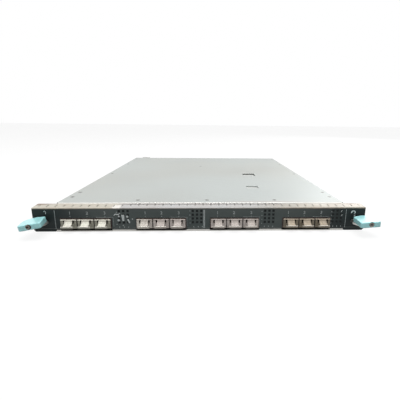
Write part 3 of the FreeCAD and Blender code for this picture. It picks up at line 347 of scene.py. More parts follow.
def stripMetal():
    look = stripLook
    material, tree = startFinish("stripMetal", Metallic=0.4)
    x, y, z = placeParts(tree)
    depth = maths(tree, "SUBTRACT", y, panelFront)
    leftward = remap(tree, x, *look["leftFade"])
    rightward = remap(tree, x, *look["rightFade"], smooth=True)
    soft = clouds(tree, 40.0)
    base = blend(tree, look["middle"], look["left"], leftward)
    base = blend(tree, base, look["right"], rightward)
    patch = nearTo(tree, x, look["brightPlace"], *look["brightReach"], smooth=True)
    base = blend(tree, base, look["bright"], patch, remap(tree, depth, *look["brightFade"]), 0.9)
    # a dark line lies along the crest, in front of the lid's edge
    crest = nearTo(tree, depth, look["crest"], *look["crestWidth"])
    between = nearTo(tree, x, 0.0, *look["crestReach"])
    base = blend(tree, base, look["shadow"], crest, between, 0.9)
    # painted shade on the strip's lower front lip
    base = blend(tree, base, look["lip"], remap(tree, z, *look["lipFade"]), 0.8)
    base = blend(tree, base, look["stain"], soft, 0.2)
    outward = maths(tree, "MAXIMUM", leftward, rightward)
    base = blend(tree, base, look["stain"], clouds(tree, 120.0, 0.1), outward, 0.2)
    # brown stains behind the crest, past the lid's sides
    pastLid = remap(tree, maths(tree, "ABSOLUTE", x), coverHigh.x - look["brownReach"], coverHigh.x)
    rear = remap(tree, depth, *look["brownFade"])
    base = blend(tree, base, look["brown"], pastLid, rear, remap(tree, soft, 0.1, 0.7, 0.25, 1.0))
    fine = grain(tree, 1800.0, (0.15, 1.0, 1.0))
    return closeFinish(material, base, soft, look["rough"], fine, 0.01 * mm, 0.4)


plugLook = {"left": (0.92, 0.91, 0.80), "middle": (0.56, 0.505, 0.475), "right": (0.50, 0.42, 0.32),
            "stain": (0.34, 0.30, 0.25), "dirt": (0.16, 0.14, 0.12), "outerFaceShade": (0.40, 0.40, 0.37),
            "inside": (0.25, 0.22, 0.20), "side": (0.06, 0.05, 0.045), "barShade": (0.80, 0.80, 0.78),
            "outerBarShade": (0.36, 0.36, 0.34), "barEdgeHighlight": (0.92, 0.89, 0.82), "rootShade": (0.45, 0.42, 0.40),
            "leftFade": (-110 * mm, -60 * mm), "rightFade": (60 * mm, 120 * mm),
            "outerFade": (88 * mm, 100 * mm), "faceFront": panelFront - 2.1 * mm,
            "onFace": (-0.35 * mm, -0.15 * mm), "behind": (0.15 * mm, 0.4 * mm),
            "onBar": (-6.7 * mm, -7.1 * mm), "belowRim": (15.7 * mm, 15.4 * mm),
            "belowEdge": (boardTop + 4.3 * mm, boardTop + 3.9 * mm), "root": 14.9 * mm,
            "rootWidth": (0.9 * mm, 0.5 * mm), "rough": (0.3, 0.45)}


def plugMetal():
    look = plugLook
    material, tree = startFinish("plugMetal", Metallic=0.2)
    x, y, z = placeParts(tree)
    soft = clouds(tree, 260.0)
    base = blend(tree, look["left"], look["middle"], remap(tree, x, *look["leftFade"]))
    base = blend(tree, base, look["right"], remap(tree, x, *look["rightFade"]))
    base = blend(tree, base, look["stain"], soft, 0.3)
    base = blend(tree, base, look["dirt"], clouds(tree, 900.0, 0.15, (1.0, 1.0, 0.12)), 0.2)
    # the flat face of the outer groups gets painted shade below its rim
    depth = maths(tree, "SUBTRACT", y, look["faceFront"])
    onFace = remap(tree, depth, *look["onFace"])
    belowRim = remap(tree, z, *look["belowRim"])
    outer = remap(tree, maths(tree, "ABSOLUTE", x), *look["outerFade"])
    base = blend(tree, base, look["outerFaceShade"], onFace, belowRim, outer, mode="MULTIPLY")
    # the pull bar: a painted highlight on its upper edge over a front in painted shade, and painted shade at
    # the root under the rim
    onBar = remap(tree, depth, *look["onBar"])
    belowEdge = remap(tree, z, *look["belowEdge"])
    barShade = blend(tree, look["barShade"], look["outerBarShade"], outer)
    base = blend(tree, base, barShade, onBar, belowEdge, mode="MULTIPLY")
    aboveEdge = maths(tree, "SUBTRACT", 1.0, belowEdge)
    base = blend(tree, base, look["barEdgeHighlight"], onBar, aboveEdge, 0.7)
    root = nearTo(tree, z, look["root"], *look["rootWidth"])
    base = blend(tree, base, look["rootShade"], root, 0.7, mode="MULTIPLY")
    # behind the face and on the side walls it is dark with painted shade
    behind = remap(tree, depth, *look["behind"])
    base = blend(tree, base, look["inside"], behind, mode="MULTIPLY")
    shaded = addNode(tree, "ShaderNodeAttribute", attribute_name="sideShade").outputs["Fac"]
    base = blend(tree, base, look["side"], shaded, mode="MULTIPLY")
    fine = grain(tree, 2400.0, (0.25, 1.0, 1.0))
    return closeFinish(material, base, soft, look["rough"], fine, 0.012 * mm, 0.4)


def lightGuide():
    material, tree = startFinish("lightGuide", Specular_IOR_Level=0.12)
    soft = clouds(tree, 300.0)
    base = blend(tree, (0.012, 0.015, 0.015), (0.020, 0.024, 0.024), soft)
    return closeFinish(material, base, soft, (0.3, 0.4), grain(tree, 1500.0), 0.01 * mm)


gripLook = {"shade": (0.37, 0.76, 0.78), "body": (0.44, 0.86, 0.88), "dirt": (0.20, 0.36, 0.37),
            "coat": 0.7, "rough": (0.3, 0.4), "grain": 0.4 * mm, "softness": 14}


def gripPlastic():
    material, tree = startFinish("gripPlastic", Specular_IOR_Level=0.6, Coat_Roughness=0.35,
                                 Coat_Weight=gripLook["coat"])
    soft = clouds(tree, 60.0)
    base = blend(tree, gripLook["shade"], gripLook["body"], soft)
    base = blend(tree, base, gripLook["dirt"], clouds(tree, 420.0, 0.1), 0.1)
    return closeFinish(material, base, soft, gripLook["rough"], grain(tree, 1500.0), 0.04 * mm)


captiveScrews = ("captive_screw_left", "captive_screw_right")
captiveLook = {"dark": (0.02, 0.018, 0.016), "light": (0.30, 0.28, 0.25), "recess": (1.5 * mm, 1.0 * mm),
               "rim": (2.6 * mm, 3.2 * mm), "rough": (0.3, 0.5), "edgeRound": 0.15 * mm}


def captiveSteel():
    # darker in the cross recess and around the head
    material, tree = startFinish("captiveSteel", Metallic=0.6)
    place = objectPlace(tree)
    nearest = None
    for nodeName in captiveScrews:
        low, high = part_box(nodeName)
        across = vectorMaths(tree, "SUBTRACT", place, ((low.x + high.x) / 2, low.y, (low.z + high.z) / 2))
        away = vectorMaths(tree, "LENGTH", vectorMaths(tree, "MULTIPLY", across, (1.0, 0.0, 1.0)))
        nearest = away if nearest is None else maths(tree, "MINIMUM", nearest, away)
    soft = clouds(tree, 500.0)
    darkened = maths(tree, "MAXIMUM", remap(tree, nearest, *captiveLook["recess"]),
                  remap(tree, nearest, *captiveLook["rim"]))
    darkened = maths(tree, "MAXIMUM", darkened, times(tree, soft, 0.5))
    base = blend(tree, captiveLook["light"], captiveLook["dark"], darkened)
    return closeFinish(material, base, soft, captiveLook["rough"], grain(tree, 2400.0), 0.02 * mm)


boardInk = {"mask": (0.008, 0.055, 0.026), "track": (0.016, 0.10, 0.045), "case": (0.014, 0.014, 0.015)}


def boardLaminate():
    material, tree = startFinish("boardLaminate", Coat_Weight=0.25, Coat_Roughness=0.25)
    steps = vectorMaths(tree, "SNAP", objectPlace(tree), (1.2 * mm, 1.2 * mm, 1.0))
    tracks = remap(tree, noise(tree, steps, 90.0, 1.0), 0.52, 0.54)
    base = blend(tree, boardInk["mask"], boardInk["track"], tracks)
    # the host connectors stand on the board
    raised = maths(tree, "GREATER_THAN", placeParts(tree)["Z"], boardTop + 0.2 * mm)
    base = blend(tree, base, boardInk["case"], raised)
    return closeFinish(material, base, tracks, (0.34, 0.44), tracks, 0.03 * mm)


def darkPlastic(name, dark=(0.012, 0.012, 0.013), light=(0.03, 0.03, 0.032)):
    material, tree = startFinish(name)
    soft = clouds(tree, 80.0)
    base = blend(tree, dark, light, soft)
    return closeFinish(material, base, soft, (0.42, 0.56), grain(tree, 900.0), 0.03 * mm)


def printInk(name, colour, worn):
    material, tree = startFinish(name)
    patches = clouds(tree, 700.0, 0.2)
    base = blend(tree, colour, (0.03, 0.04, 0.04), patches, worn)
    return closeFinish(material, base, patches, (0.5, 0.7), grain(tree, 2600.0), 0.02 * mm)


finishes = {
    "front_panel": panelPaint(),
    "spring_strip": stripMetal(),
    "tray": sheetMetal("trayZinc", (0.44, 0.43, 0.41), (0.60, 0.59, 0.56), metal=0.8),
    "top_cover": coverMetal(),
    "brace": sheetMetal("braceZinc", (0.42, 0.42, 0.40), (0.58, 0.58, 0.55)),
    "port_cage": sheetMetal("cageTin", (0.025, 0.022, 0.02), (0.06, 0.05, 0.045), cells=400.0, metal=0.6),
    "cage_shield": sheetMetal("shieldSpring", (0.05, 0.032, 0.03), (0.10, 0.07, 0.062), cells=500.0,
                              metal=0.5),
    "port_cover": plugMetal(),
    "led_array": lightGuide(),
    "grip": gripPlastic(),
    "lever": sheetMetal("leverSteel", (0.52, 0.52, 0.50), (0.66, 0.66, 0.63), brushed=(1.0, 0.1, 1.0)),
    "pivot": sheetMetal("pivotSteel", (0.06, 0.06, 0.06), (0.12, 0.12, 0.12), metal=0.6),
    "captive_screw": captiveSteel(),
    "screw": sheetMetal("screwSteel", (0.10, 0.10, 0.09), (0.22, 0.21, 0.19), cells=900.0),
    "standoff": sheetMetal("standoffBrass", (0.50, 0.36, 0.14), (0.64, 0.48, 0.22), cells=900.0),
    "main_board": boardLaminate(),
    "processor": sheetMetal("chipLid", (0.40, 0.40, 0.40), (0.52, 0.52, 0.52), cells=900.0, metal=0.8),
    "heat_sink": sheetMetal("finAluminium", (0.56, 0.57, 0.58), (0.70, 0.71, 0.72),
                            brushed=(1.0, 0.05, 1.0)),
    "power_modules": darkPlastic("moduleCase", (0.02, 0.02, 0.022), (0.05, 0.05, 0.055)),
    "connector": darkPlastic("connectorBody"),
    "guide_block": sheetMetal("guideCast", (0.50, 0.50, 0.49), (0.62, 0.62, 0.60), (0.45, 0.6), 700.0),
    "print": printInk("panelInk", (0.42, 0.46, 0.46), 0.5),
    "bright": printInk("panelInkBright", (0.70, 0.76, 0.76), 0.2),
    "scuff": printInk("rubbedMark", (0.66, 0.71, 0.71), 0.3),
    "shield_can": sheetMetal("canTin", (0.50, 0.52, 0.50), (0.66, 0.67, 0.65), (0.4, 0.5), metal=0.2),
    "contact": sheetMetal("contactGold", (0.62, 0.44, 0.16), (0.78, 0.58, 0.26), (0.2, 0.3), 900.0),
    "chip": darkPlastic("chipEpoxy", (0.014, 0.014, 0.015), (0.03, 0.03, 0.03)),
    "capacitor": darkPlastic("capacitorBody", (0.22, 0.15, 0.08), (0.32, 0.23, 0.13)),
}

# nodes that take a finish of another name; the others take the one that their name starts with
sharedFinish = {
    "front_brace": "brace", "rear_brace": "brace", "cover_pillar": "brace", "handle_left_grip": "grip",
    "handle_right_grip": "grip", "handle_left_lever": "lever", "handle_right_lever": "lever",
    "lever_screws": "screw", "cover_screws": "screw", "board_screws": "screw", "panel_nuts": "screw",
    "board_standoffs": "standoff", "power_connector": "connector", "backplane_connector": "connector",
}


def finishFor(nodeName):
    starts = [key for key in (*finishes, *sharedFinish) if nodeName.startswith(key)]
    longest = max(starts, key=len)
    return finishes[sharedFinish.get(longest, longest)]


for nodeName, thing in nodes.items():
    for slot in thing.material_slots:
        slot.material = finishFor(nodeName)
print("finishes on all nodes")


# Geometry trees: a piece repeated in columns and rows, and pieces scattered over an area

def copiesAt(tree, points, piece, scale=(1.0, 1.0, 1.0)):
    values = {"Points": points, "Instance": piece, "Scale": scale}
    copies = addNode(tree, "GeometryNodeInstanceOnPoints", values)
    return addNode(tree, "GeometryNodeRealizeInstances", {0: copies.outputs[0]}).outputs[0]


def endTree(tree, shape, given, result):
    painted = addNode(tree, "GeometryNodeSetMaterial", {"Geometry": shape, "Material": given["Finish"]})
    link(tree, painted.outputs[0], result["Result"])
    return tree


def makeRepeat():
    sizes = {"Piece": "Geometry", "Start": (0.0, 0.0, 0.0), "Columns": 2, "Column Step": (0.01, 0.0, 0.0),
             "Rows": 1, "Row Step": (0.0, 0.0, 0.01), "Finish": "Material"}
    tree, given, result = newTree("repeatPiece", "GeometryNodeTree", sizes, {"Result": "Geometry"})
    values = {"Count": given["Columns"], "Start Location": given["Start"], "Offset": given["Column Step"]}
    columns = addNode(tree, "GeometryNodeMeshLine", values, mode="OFFSET")
    values = {"Count": given["Rows"], "Offset": given["Row Step"]}
    rows = addNode(tree, "GeometryNodeMeshLine", values, mode="OFFSET")
    spots = copiesAt(tree, columns.outputs[0], rows.outputs[0])
    values = {"Geometry": copiesAt(tree, spots, given["Piece"]), "Distance": 0.001 * mm}
    joined = addNode(tree, "GeometryNodeMergeByDistance", values)
    return endTree(tree, joined.outputs[0], given, result)


def makeScatter():
    sizes = {"Area": "Geometry", "Piece": "Object", "Spacing": 0.01, "Density": 5000.0, "Smallest": 0.5,
             "Largest": 1.0, "Seed": 1, "Finish": "Material"}
    tree, given, result = newTree("scatterPiece", "GeometryNodeTree", sizes, {"Result": "Geometry"})
    values = {"Mesh": given["Area"], "Distance Min": given["Spacing"], "Density Max": given["Density"],
              "Seed": given["Seed"]}
    spots = addNode(tree, "GeometryNodeDistributePointsOnFaces", values, distribute_method="POISSON")
    size = addNode(tree, "FunctionNodeRandomValue", {"Seed": given["Seed"]}, data_type="FLOAT")
    # the node has a Min and a Max of each kind, and these are the plain numbers
    low, high = [socket for socket in size.inputs if socket.type == "VALUE" and socket.name in ("Min", "Max")]
    link(tree, given["Smallest"], low)
    link(tree, given["Largest"], high)
    scale = next(socket for socket in size.outputs if socket.type == "VALUE")
    source = addNode(tree, "GeometryNodeObjectInfo", {"Object": given["Piece"]})
    copies = copiesAt(tree, spots.outputs["Points"], source.outputs["Geometry"], scale)
    return endTree(tree, copies, given, result)


repeatPiece = makeRepeat()
scatterPiece = makeScatter()


# Plain mesh helpers, and pieces made from a node's own form

def linkedObject(name, data):
    thing = bpy.data.objects.new(name, data)
    bpy.context.scene.collection.objects.link(thing)
    return thing


def evaluatedMesh(holder):
    # a plain mesh of what the holder shows; the holder itself goes
    graph = bpy.context.evaluated_depsgraph_get()
    made = bpy.data.meshes.new_from_object(holder.evaluated_get(graph))
    holder.modifiers.clear()
    bpy.data.objects.remove(holder)
    return made


def runTree(mesh, group, values, wall=0.0):
    holder = linkedObject("holder", mesh)
    modifier = holder.modifiers.new("tree", "NODES")
    modifier.node_group = group
    for item in group.interface.items_tree:
        if item.in_out == "INPUT" and item.name in values:
            modifier[item.identifier] = values[item.name]
    if wall:
        shell = holder.modifiers.new("wall", "SOLIDIFY")
        shell.thickness = wall
        shell.offset = 0.0
    return evaluatedMesh(holder)


def newPiece(name, mesh, body, material):
    piece = linkedObject(name, mesh)
    piece.data.materials.clear()
    piece.data.materials.append(material)
    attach(piece, body)
    return piece


def replaceNode(nodeName, mesh):
    body = body_of(nodes[nodeName])[0]
    piece = newPiece(nodeName + "_formed", mesh, body, finishFor(nodeName))
    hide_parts(nodeName)


def mergedCopy(nodeName):
    work = bmesh.new()
    work.from_mesh(nodes[nodeName].data)
    bmesh.ops.remove_doubles(work, verts=work.verts, dist=0.001 * mm)
    bmesh.ops.dissolve_limit(work, angle_limit=math.radians(1), verts=work.verts, edges=work.edges)
    return work


def meshOf(work, name):
    mesh = bpy.data.meshes.new(name)
    work.to_mesh(mesh)
    work.free()
    return mesh


def closedMesh(work, name):
    bmesh.ops.remove_doubles(work, verts=work.verts, dist=0.0005 * mm)
    bmesh.ops.recalc_face_normals(work, faces=work.faces)
    return meshOf(work, name)


def shadeByAngle(mesh, degrees):
    mesh.shade_smooth()
    mesh.set_sharp_from_angle(angle=math.radians(degrees))


def roundEdges(work, offset, segments, keep=None):
    sharp = [edge for edge in work.edges if edge.is_manifold
             and edge.calc_face_angle(0) > math.radians(30) and (keep is None or keep(edge))]
    bmesh.ops.bevel(work, geom=sharp, offset=offset, segments=segments, profile=0.5, affect="EDGES",
                    clamp_overlap=True)


def placeFormed(work, nodeName):
    # large flat faces stay flat, and the small ones of a rounding are smooth
    mesh = meshOf(work, nodeName + "_formed")
    shadeByAngle(mesh, 35)
    for face in mesh.polygons:
        face.use_smooth = face.area < 2 * mm * mm
    low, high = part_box(nodeName)
    shade = mesh.attributes.new("sideShade", "FLOAT", "FACE")   # 1 on the outer side walls, where painted shade goes
    for face, value in zip(mesh.polygons, shade.data):
        reach = min(face.center.x - low.x, high.x - face.center.x)
        value.value = 1.0 if abs(face.normal.x) > 0.8 and reach < 0.3 * mm else 0.0
    replaceNode(nodeName, mesh)


def addSides(work, first, second):
    # faces between two rings of corners
    for index in range(len(first)):
        after = (index + 1) % len(first)
        work.faces.new((first[index], first[after], second[after], second[index]))


def addTaper(work, low, high, tip):
    # a block whose top is narrower than its foot by tip on every side
    foot = [(low[0], low[1]), (high[0], low[1]), (high[0], high[1]), (low[0], high[1])]
    head = [(low[0] + tip, low[1] + tip), (high[0] - tip, low[1] + tip),
            (high[0] - tip, high[1] - tip), (low[0] + tip, high[1] - tip)]
    lower = [work.verts.new((x, y, low[2])) for x, y in foot]
    upper = [work.verts.new((x, y, high[2])) for x, y in head]
    work.faces.new(lower[::-1])
    work.faces.new(upper)
    addSides(work, lower, upper)


def circlePoints(x, z, radius, corners):
    turns = [2 * math.pi * step / corners for step in range(corners)]
    return [(x + radius * math.cos(turn), z + radius * math.sin(turn)) for turn in turns]


touching = 0.05 * mm   # a corner this near to a face lies on it
plugForm = {"brow": 1.1 * mm, "edge": 0.14 * mm, "plateTop": 13.0 * mm, "plateFoot": 11.2 * mm,
            "plateWall": 0.5 * mm, "plateDepth": 0.5 * mm, "plateHalf": 6.9 * mm}


def portCover(nodeName):
    # the face's top edge is rolled over, and a low plate stands behind its window
    work = mergedCopy(nodeName)
    low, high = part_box(nodeName)
    faceFront = plugLook["faceFront"]

    def onBrow(edge):
        return all(abs(vert.co.y - faceFront) < touching and vert.co.z > high.z - touching
                   for vert in edge.verts)
    roundEdges(work, plugForm["brow"], 4, onBrow)
    roundEdges(work, plugForm["edge"], 2)
    middle, half = (low.x + high.x) / 2, plugForm["plateHalf"]
    plateFront = faceFront + plugForm["plateDepth"]
    addTaper(work, (middle - half, plateFront, plugForm["plateFoot"]),
             (middle + half, plateFront + plugForm["plateWall"], plugForm["plateTop"]), 0.0)
    placeFormed(work, nodeName)


def mouldedGrip(nodeName):
    # remeshed and softened, so that every edge is as round as a moulded one
    holder = linkedObject("grip", meshOf(mergedCopy(nodeName), "grip"))
    remesh = holder.modifiers.new("remesh", "REMESH")
    remesh.mode = "VOXEL"
    remesh.voxel_size = gripLook["grain"]
    soften = holder.modifiers.new("soften", "SMOOTH")
    soften.factor = 0.5
    soften.iterations = gripLook["softness"]
    mesh = evaluatedMesh(holder)
    mesh.shade_smooth()
    replaceNode(nodeName, mesh)


def captiveScrew(nodeName):
    work = mergedCopy(nodeName)
    roundEdges(work, captiveLook["edgeRound"], 2)
    placeFormed(work, nodeName)


def formedLid():
    # only the front edge of its top is rounded
    def onFront(edge):
        return all(vert.co.y < coverFront + touching and vert.co.z > coverHigh.z - touching
                   for vert in edge.verts)
    work = mergedCopy("top_cover")
    roundEdges(work, coverLook["edgeRound"], 3, onFront)
    placeFormed(work, "top_cover")


sleeveLook = {"side": 209.5 * mm, "height": 18.2 * mm, "hole": 2.5 * mm, "wall": 0.06 * mm,
              "start": 1.3 * mm, "length": 9.0 * mm, "corners": 32}


def screwSleeve(name, x):
    # a thin dark open sleeve behind one of the panel's screw holes: a dark piece that stands in for the shade
    # there, so the floor does not show through
    work = bmesh.new()
    rings = []
    start = panelFront + sleeveLook["start"]
    for y in (start, start + sleeveLook["length"]):
        for radius in (sleeveLook["hole"], sleeveLook["hole"] + sleeveLook["wall"]):
            points = circlePoints(x, sleeveLook["height"], radius, sleeveLook["corners"])
            rings.append([work.verts.new((across, y, up)) for across, up in points])
    inner, outer, innerEnd, outerEnd = rings
    for first, second in ((inner, outer), (outer, outerEnd), (outerEnd, innerEnd), (innerEnd, inner)):
        addSides(work, first, second)
    newPiece(name, closedMesh(work, name), "root", finishes["pivot"])


for nodeName in nodes:
    if nodeName.startswith("port_cover"):
        portCover(nodeName)
for nodeName in ("handle_left_grip", "handle_right_grip"):
    mouldedGrip(nodeName)
for nodeName in captiveScrews:
    captiveScrew(nodeName)
screwSleeve("left_screw_sleeve", -sleeveLook["side"])
screwSleeve("right_screw_sleeve", sleeveLook["side"])
formedLid()
print("port covers, grips, captive screws, sleeves and lid formed")


# Spring strip: one finger drawn along its profile, repeated along the panel

fingerLook = {"pitch": 10.5 * mm, "slit": 1.1 * mm, "notch": 0.5 * mm, "wall": 0.3 * mm,
              "middle": (-105 * mm, 105 * mm), "widening": 1.2, "middleNotch": 1.6, "endWidening": 0.2,
              "seam": 0.1 * mm, "endGap": 0.3 * mm}
# depth behind the panel's front and height, in mm, along the middle of the sheet
fingerProfile = ((-0.15, 30.45), (-0.15, 31.4), (0.05, 31.75), (0.5, 31.9), (4.0, 32.05), (8.0, 32.3),
                 (12.0, 32.62), (14.4, 32.78), (16.6, 32.68), (21.0, 31.8), (25.0, 30.7), (28.6, 29.6))
# a slit's first and last step of the profile and a notch's first: short slots at the strip's ends with
# no notch, slits and open notches between them
endCuts, middleCuts = (4, 6, 99), (5, 11, 6)


def fingerSheet(notch, widening, cuts):
    # one pitch of the strip: a slit's half at each side and a notch in the middle
    slitStart, slitEnd, notchStart = cuts
    work = bmesh.new()
    pitch = fingerLook["pitch"]
    last = len(fingerProfile) - 1
    rows = []
    for index, (depth, height) in enumerate(fingerProfile):
        along = max(0.0, (index - slitStart) / (last - slitStart))
        slit = fingerLook["slit"] / 2 * (1 + widening * along)
        half = notch / 2 if index >= notchStart else fingerLook["seam"]
        across = (0.0, slit, pitch / 2 - half, pitch / 2 + half, pitch - slit, pitch)
        rows.append([work.verts.new((x, panelFront + depth * mm, height * mm)) for x in across])
    for index in range(last):
        near, far = rows[index], rows[index + 1]
        for column in range(5):
            onSlit = column in (0, 4) and slitStart <= index < slitEnd
            onNotch = column == 2 and index >= notchStart
            if not onSlit and not onNotch:
                work.faces.new((near[column], near[column + 1], far[column + 1], far[column]))
    return meshOf(work, "finger")


def plainEnd(start, end):
    work = bmesh.new()
    rows = [[work.verts.new((x, panelFront + depth * mm, height * mm)) for x in (start, end)]
            for depth, height in fingerProfile]
    for near, far in zip(rows, rows[1:]):
        work.faces.new((near[0], near[1], far[1], far[0]))
    values = {"Columns": 1, "Rows": 1, "Finish": finishes["spring_strip"]}
    return runTree(meshOf(work, "finger_end"), repeatPiece, values, fingerLook["wall"])


def springStrip():
    pitch, notch, wall = fingerLook["pitch"], fingerLook["notch"], fingerLook["wall"]
    half = math.floor(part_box("spring_strip")[1].x / pitch) * pitch
    left, right = fingerLook["middle"]
    endForm = (notch, fingerLook["endWidening"], endCuts)
    middleForm = (notch * fingerLook["middleNotch"], fingerLook["widening"], middleCuts)
    ending = panelHigh.x - fingerLook["endGap"] - half   # the plain stretch past the last slit
    parts = [plainEnd(-half - ending, -half), plainEnd(half, half + ending)]
    for start, end, form in ((-half, left, endForm), (left, right, middleForm), (right, half, endForm)):
        values = {"Start": (start, 0.0, 0.0), "Columns": round((end - start) / pitch),
                  "Column Step": (pitch, 0.0, 0.0), "Rows": 1, "Finish": finishes["spring_strip"]}
        parts.append(runTree(fingerSheet(*form), repeatPiece, values, wall))
    work = bmesh.new()
    for part in parts:
        work.from_mesh(part)
    mesh = closedMesh(work, "spring_fingers")
    shadeByAngle(mesh, 40)
    piece = newPiece("spring_fingers", mesh, "root", finishes["spring_strip"])
    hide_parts("spring_strip")


springStrip()
print("spring strip made")


# Inside: tins under the lid's windows, parts scattered on the board, contacts in the rear connectors

# low and high corners in mm, x from the middle and depth from the panel's front, and the gap under the lid
tinLook = {"rear": ((74.0, 240.0), (111.0, 300.0), 2.6 * mm),
           "front": ((68.0, 116.0), (98.0, 150.0), 1.7 * mm), "taper": 0.4 * mm, "rounding": 0.8 * mm}
# the free stretches of the board, given the same way
freeAreas = (((-160.0, 60.0), (-108.0, 270.0)), ((116.0, 60.0), (160.0, 270.0)),
             ((-18.0, 60.0), (18.0, 270.0)), ((-160.0, 405.0), (160.0, 475.0)),
             ((-95.0, 90.0), (-62.0, 145.0)), ((-50.0, 240.0), (48.0, 272.0)))
# length of the largest, spacing and seed; the forms below are 1 long
scattered = {"chip": (6.0 * mm, 11.0 * mm, 7), "capacitor": (2.4 * mm, 5.0 * mm, 8)}


def shieldTin(place):
    name = "shield_tin_" + place
    low, high, gap = tinLook[place]
    work = bmesh.new()
    addTaper(work, (low[0] * mm, panelFront + low[1] * mm, boardTop),
             (high[0] * mm, panelFront + high[1] * mm, coverHigh.z - gap), tinLook["taper"])
    bmesh.ops.bevel(work, geom=work.edges[:], offset=tinLook["rounding"], segments=3, profile=0.5,
                    affect="EDGES")
    mesh = closedMesh(work, name)
    shadeByAngle(mesh, 50)
    newPiece(name, mesh, "root", finishes["shield_can"])


chipLook = {"legs": 5, "legStep": 0.19, "legHalf": 0.04, "half": 0.4, "reach": 0.56}


def chipForm():
    # a case with legs on both long sides
    work = bmesh.new()
    half, legHalf = chipLook["half"], chipLook["legHalf"]
    addTaper(work, (-0.5, -half, 0.03), (0.5, half, 0.22), 0.03)
    for side in (-1, 1):
        near, far = sorted((side * half, side * chipLook["reach"]))
        for step in range(chipLook["legs"]):
            x = (step - (chipLook["legs"] - 1) / 2) * chipLook["legStep"]
            addTaper(work, (x - legHalf, near, 0.0), (x + legHalf, far, 0.06), 0.01)
    return closedMesh(work, "chip")


def capacitorForm():
    work = bmesh.new()
    addTaper(work, (-0.5, -0.3, 0.0), (0.5, 0.3, 0.5), 0.05)
    return closedMesh(work, "capacitor")


def boardParts(name, form, finish):
    size, spacing, seed = scattered[finish]
    area = bmesh.new()
    for low, high in freeAreas:
        corners = ((low[0], low[1]), (high[0], low[1]), (high[0], high[1]), (low[0], high[1]))
        area.faces.new([area.verts.new((x * mm, panelFront + y * mm, boardTop)) for x, y in corners])
    source = linkedObject(name + "_source", form)
    values = {"Piece": source, "Spacing": spacing, "Density": 3.0 / spacing ** 2, "Smallest": size * 0.55,
              "Largest": size, "Seed": seed, "Finish": finishes[finish]}
    mesh = runTree(meshOf(area, "area"), scatterPiece, values)
    bpy.data.objects.remove(source)
    newPiece(name, mesh, "root", finishes[finish])
    return len(mesh.polygons)


contactLook = {"bladeWall": 0.4 * mm, "bladeHeight": 0.9 * mm, "rowStep": 2.0 * mm, "tip": 0.1 * mm,
               "reach": 7.0 * mm, "rim": 3.0 * mm, "setBack": 1.2 * mm, "lift": 0.3 * mm}
# distance of the columns and gap between the two blades of a pair
contactPitch = {"backplane_connector_left": (7.6 * mm, 2.2 * mm),
                "backplane_connector_right": (7.6 * mm, 2.2 * mm), "power_connector": (9.8 * mm, 1.3 * mm)}


def contactRows(nodeName, pitch, gap):
    # pairs of spring blades in every slot of a rear connector
    low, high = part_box(nodeName)
    reach, rim, step = contactLook["reach"], contactLook["rim"], contactLook["rowStep"]
    columns = int((high.x - low.x) / pitch + 1e-6)
    rows = int((high.z - low.z - 2 * rim) / step)
    work = bmesh.new()
    half = contactLook["bladeWall"] / 2
    for x in (-gap / 2, gap / 2):
        addTaper(work, (x - half, 0.0, 0.0), (x + half, reach, contactLook["bladeHeight"]),
                 contactLook["tip"])
    start = ((low.x + high.x) / 2 - (columns - 1) / 2 * pitch, high.y - reach - contactLook["setBack"],
             low.z + rim + contactLook["lift"])
    values = {"Start": start, "Columns": columns, "Column Step": (pitch, 0.0, 0.0), "Rows": rows,
              "Row Step": (0.0, 0.0, step), "Finish": finishes["contact"]}
    mesh = runTree(closedMesh(work, "blades"), repeatPiece, values)
    newPiece(nodeName + "_contacts", mesh, "root", finishes["contact"])


shieldTin("rear")
shieldTin("front")
chipFaces = boardParts("board_chips", chipForm(), "chip")
smallFaces = boardParts("board_capacitors", capacitorForm(), "capacitor")
for nodeName, (pitch, gap) in contactPitch.items():
    contactRows(nodeName, pitch, gap)
print("board dressed:", chipFaces, "chip faces,", smallFaces, "capacitor faces")


# Marks printed on the panel: plain numbers, lines, dots and two arrows, with places and sizes in mm

printLook = {"front": panelFront - 0.03 * mm, "depth": 0.02 * mm, "digit": 5.4 * mm, "bold": 0.16 * mm,
             "digitHeight": 24.8, "dotHeight": 20.3, "dot": 0.8, "rowDot": 0.6, "labelEnds": (5.1, 6.7),
             "label": 1.1, "lineEnds": (29.0, 4.0), "bracketHeight": 19.2, "bracketFoot": 6.5,
             "bracketWidth": 22.0, "bracket": 0.4}
portNumbers = ((-169.4, -148.0, -125.7), (-74.5, -53.6, -31.4), (18.8, 40.4, 63.2), (112.3, 133.7, 156.4))
panelLines = ((-188.3, 0.7), (1.4, 2.3), (190.0, 0.7))
bracketEnds = (-115.2, -20.8, 74.5, 167.3)
columnLabels = (-107.8, -101.7, -96.4, -12.0, -6.2, -0.8, 81.1, 86.7, 92.2, 173.6, 178.9, 184.3)
rowLabels = ((-17.0, (27.4, 22.0, 16.6, 11.1)), (77.3, (26.6, 21.0, 15.6, 10.2)),
             (170.5, (25.8, 21.0, 15.6, 10.2)))


def addSlab(work, corners, lift):
    front = printLook["front"] - lift
    near = [work.verts.new((x * mm, front, z * mm)) for x, z in corners]
    far = [work.verts.new((x * mm, front + printLook["depth"], z * mm)) for x, z in corners]
    work.faces.new(near)
    work.faces.new(reversed(far))
    addSides(work, near, far)


def addStroke(work, points, widths, lift=0.0):
    # a line through the points, with one width or its own at each point
    if isinstance(widths, float):
        widths = [widths] * len(points)
    left, right = [], []
    for index, (x, z) in enumerate(points):
        before = points[max(index - 1, 0)]
        after = points[min(index + 1, len(points) - 1)]
        run = Vector((after[0] - before[0], after[1] - before[1])).normalized()
        side = Vector((-run.y, run.x)) * widths[index] / 2
        left.append((x + side.x, z + side.y))
        right.append((x - side.x, z - side.y))
    addSlab(work, left + right[::-1], lift)


def addDot(work, x, z, radius, lift=0.0, corners=10):
    addSlab(work, circlePoints(x, z, radius, corners), lift)


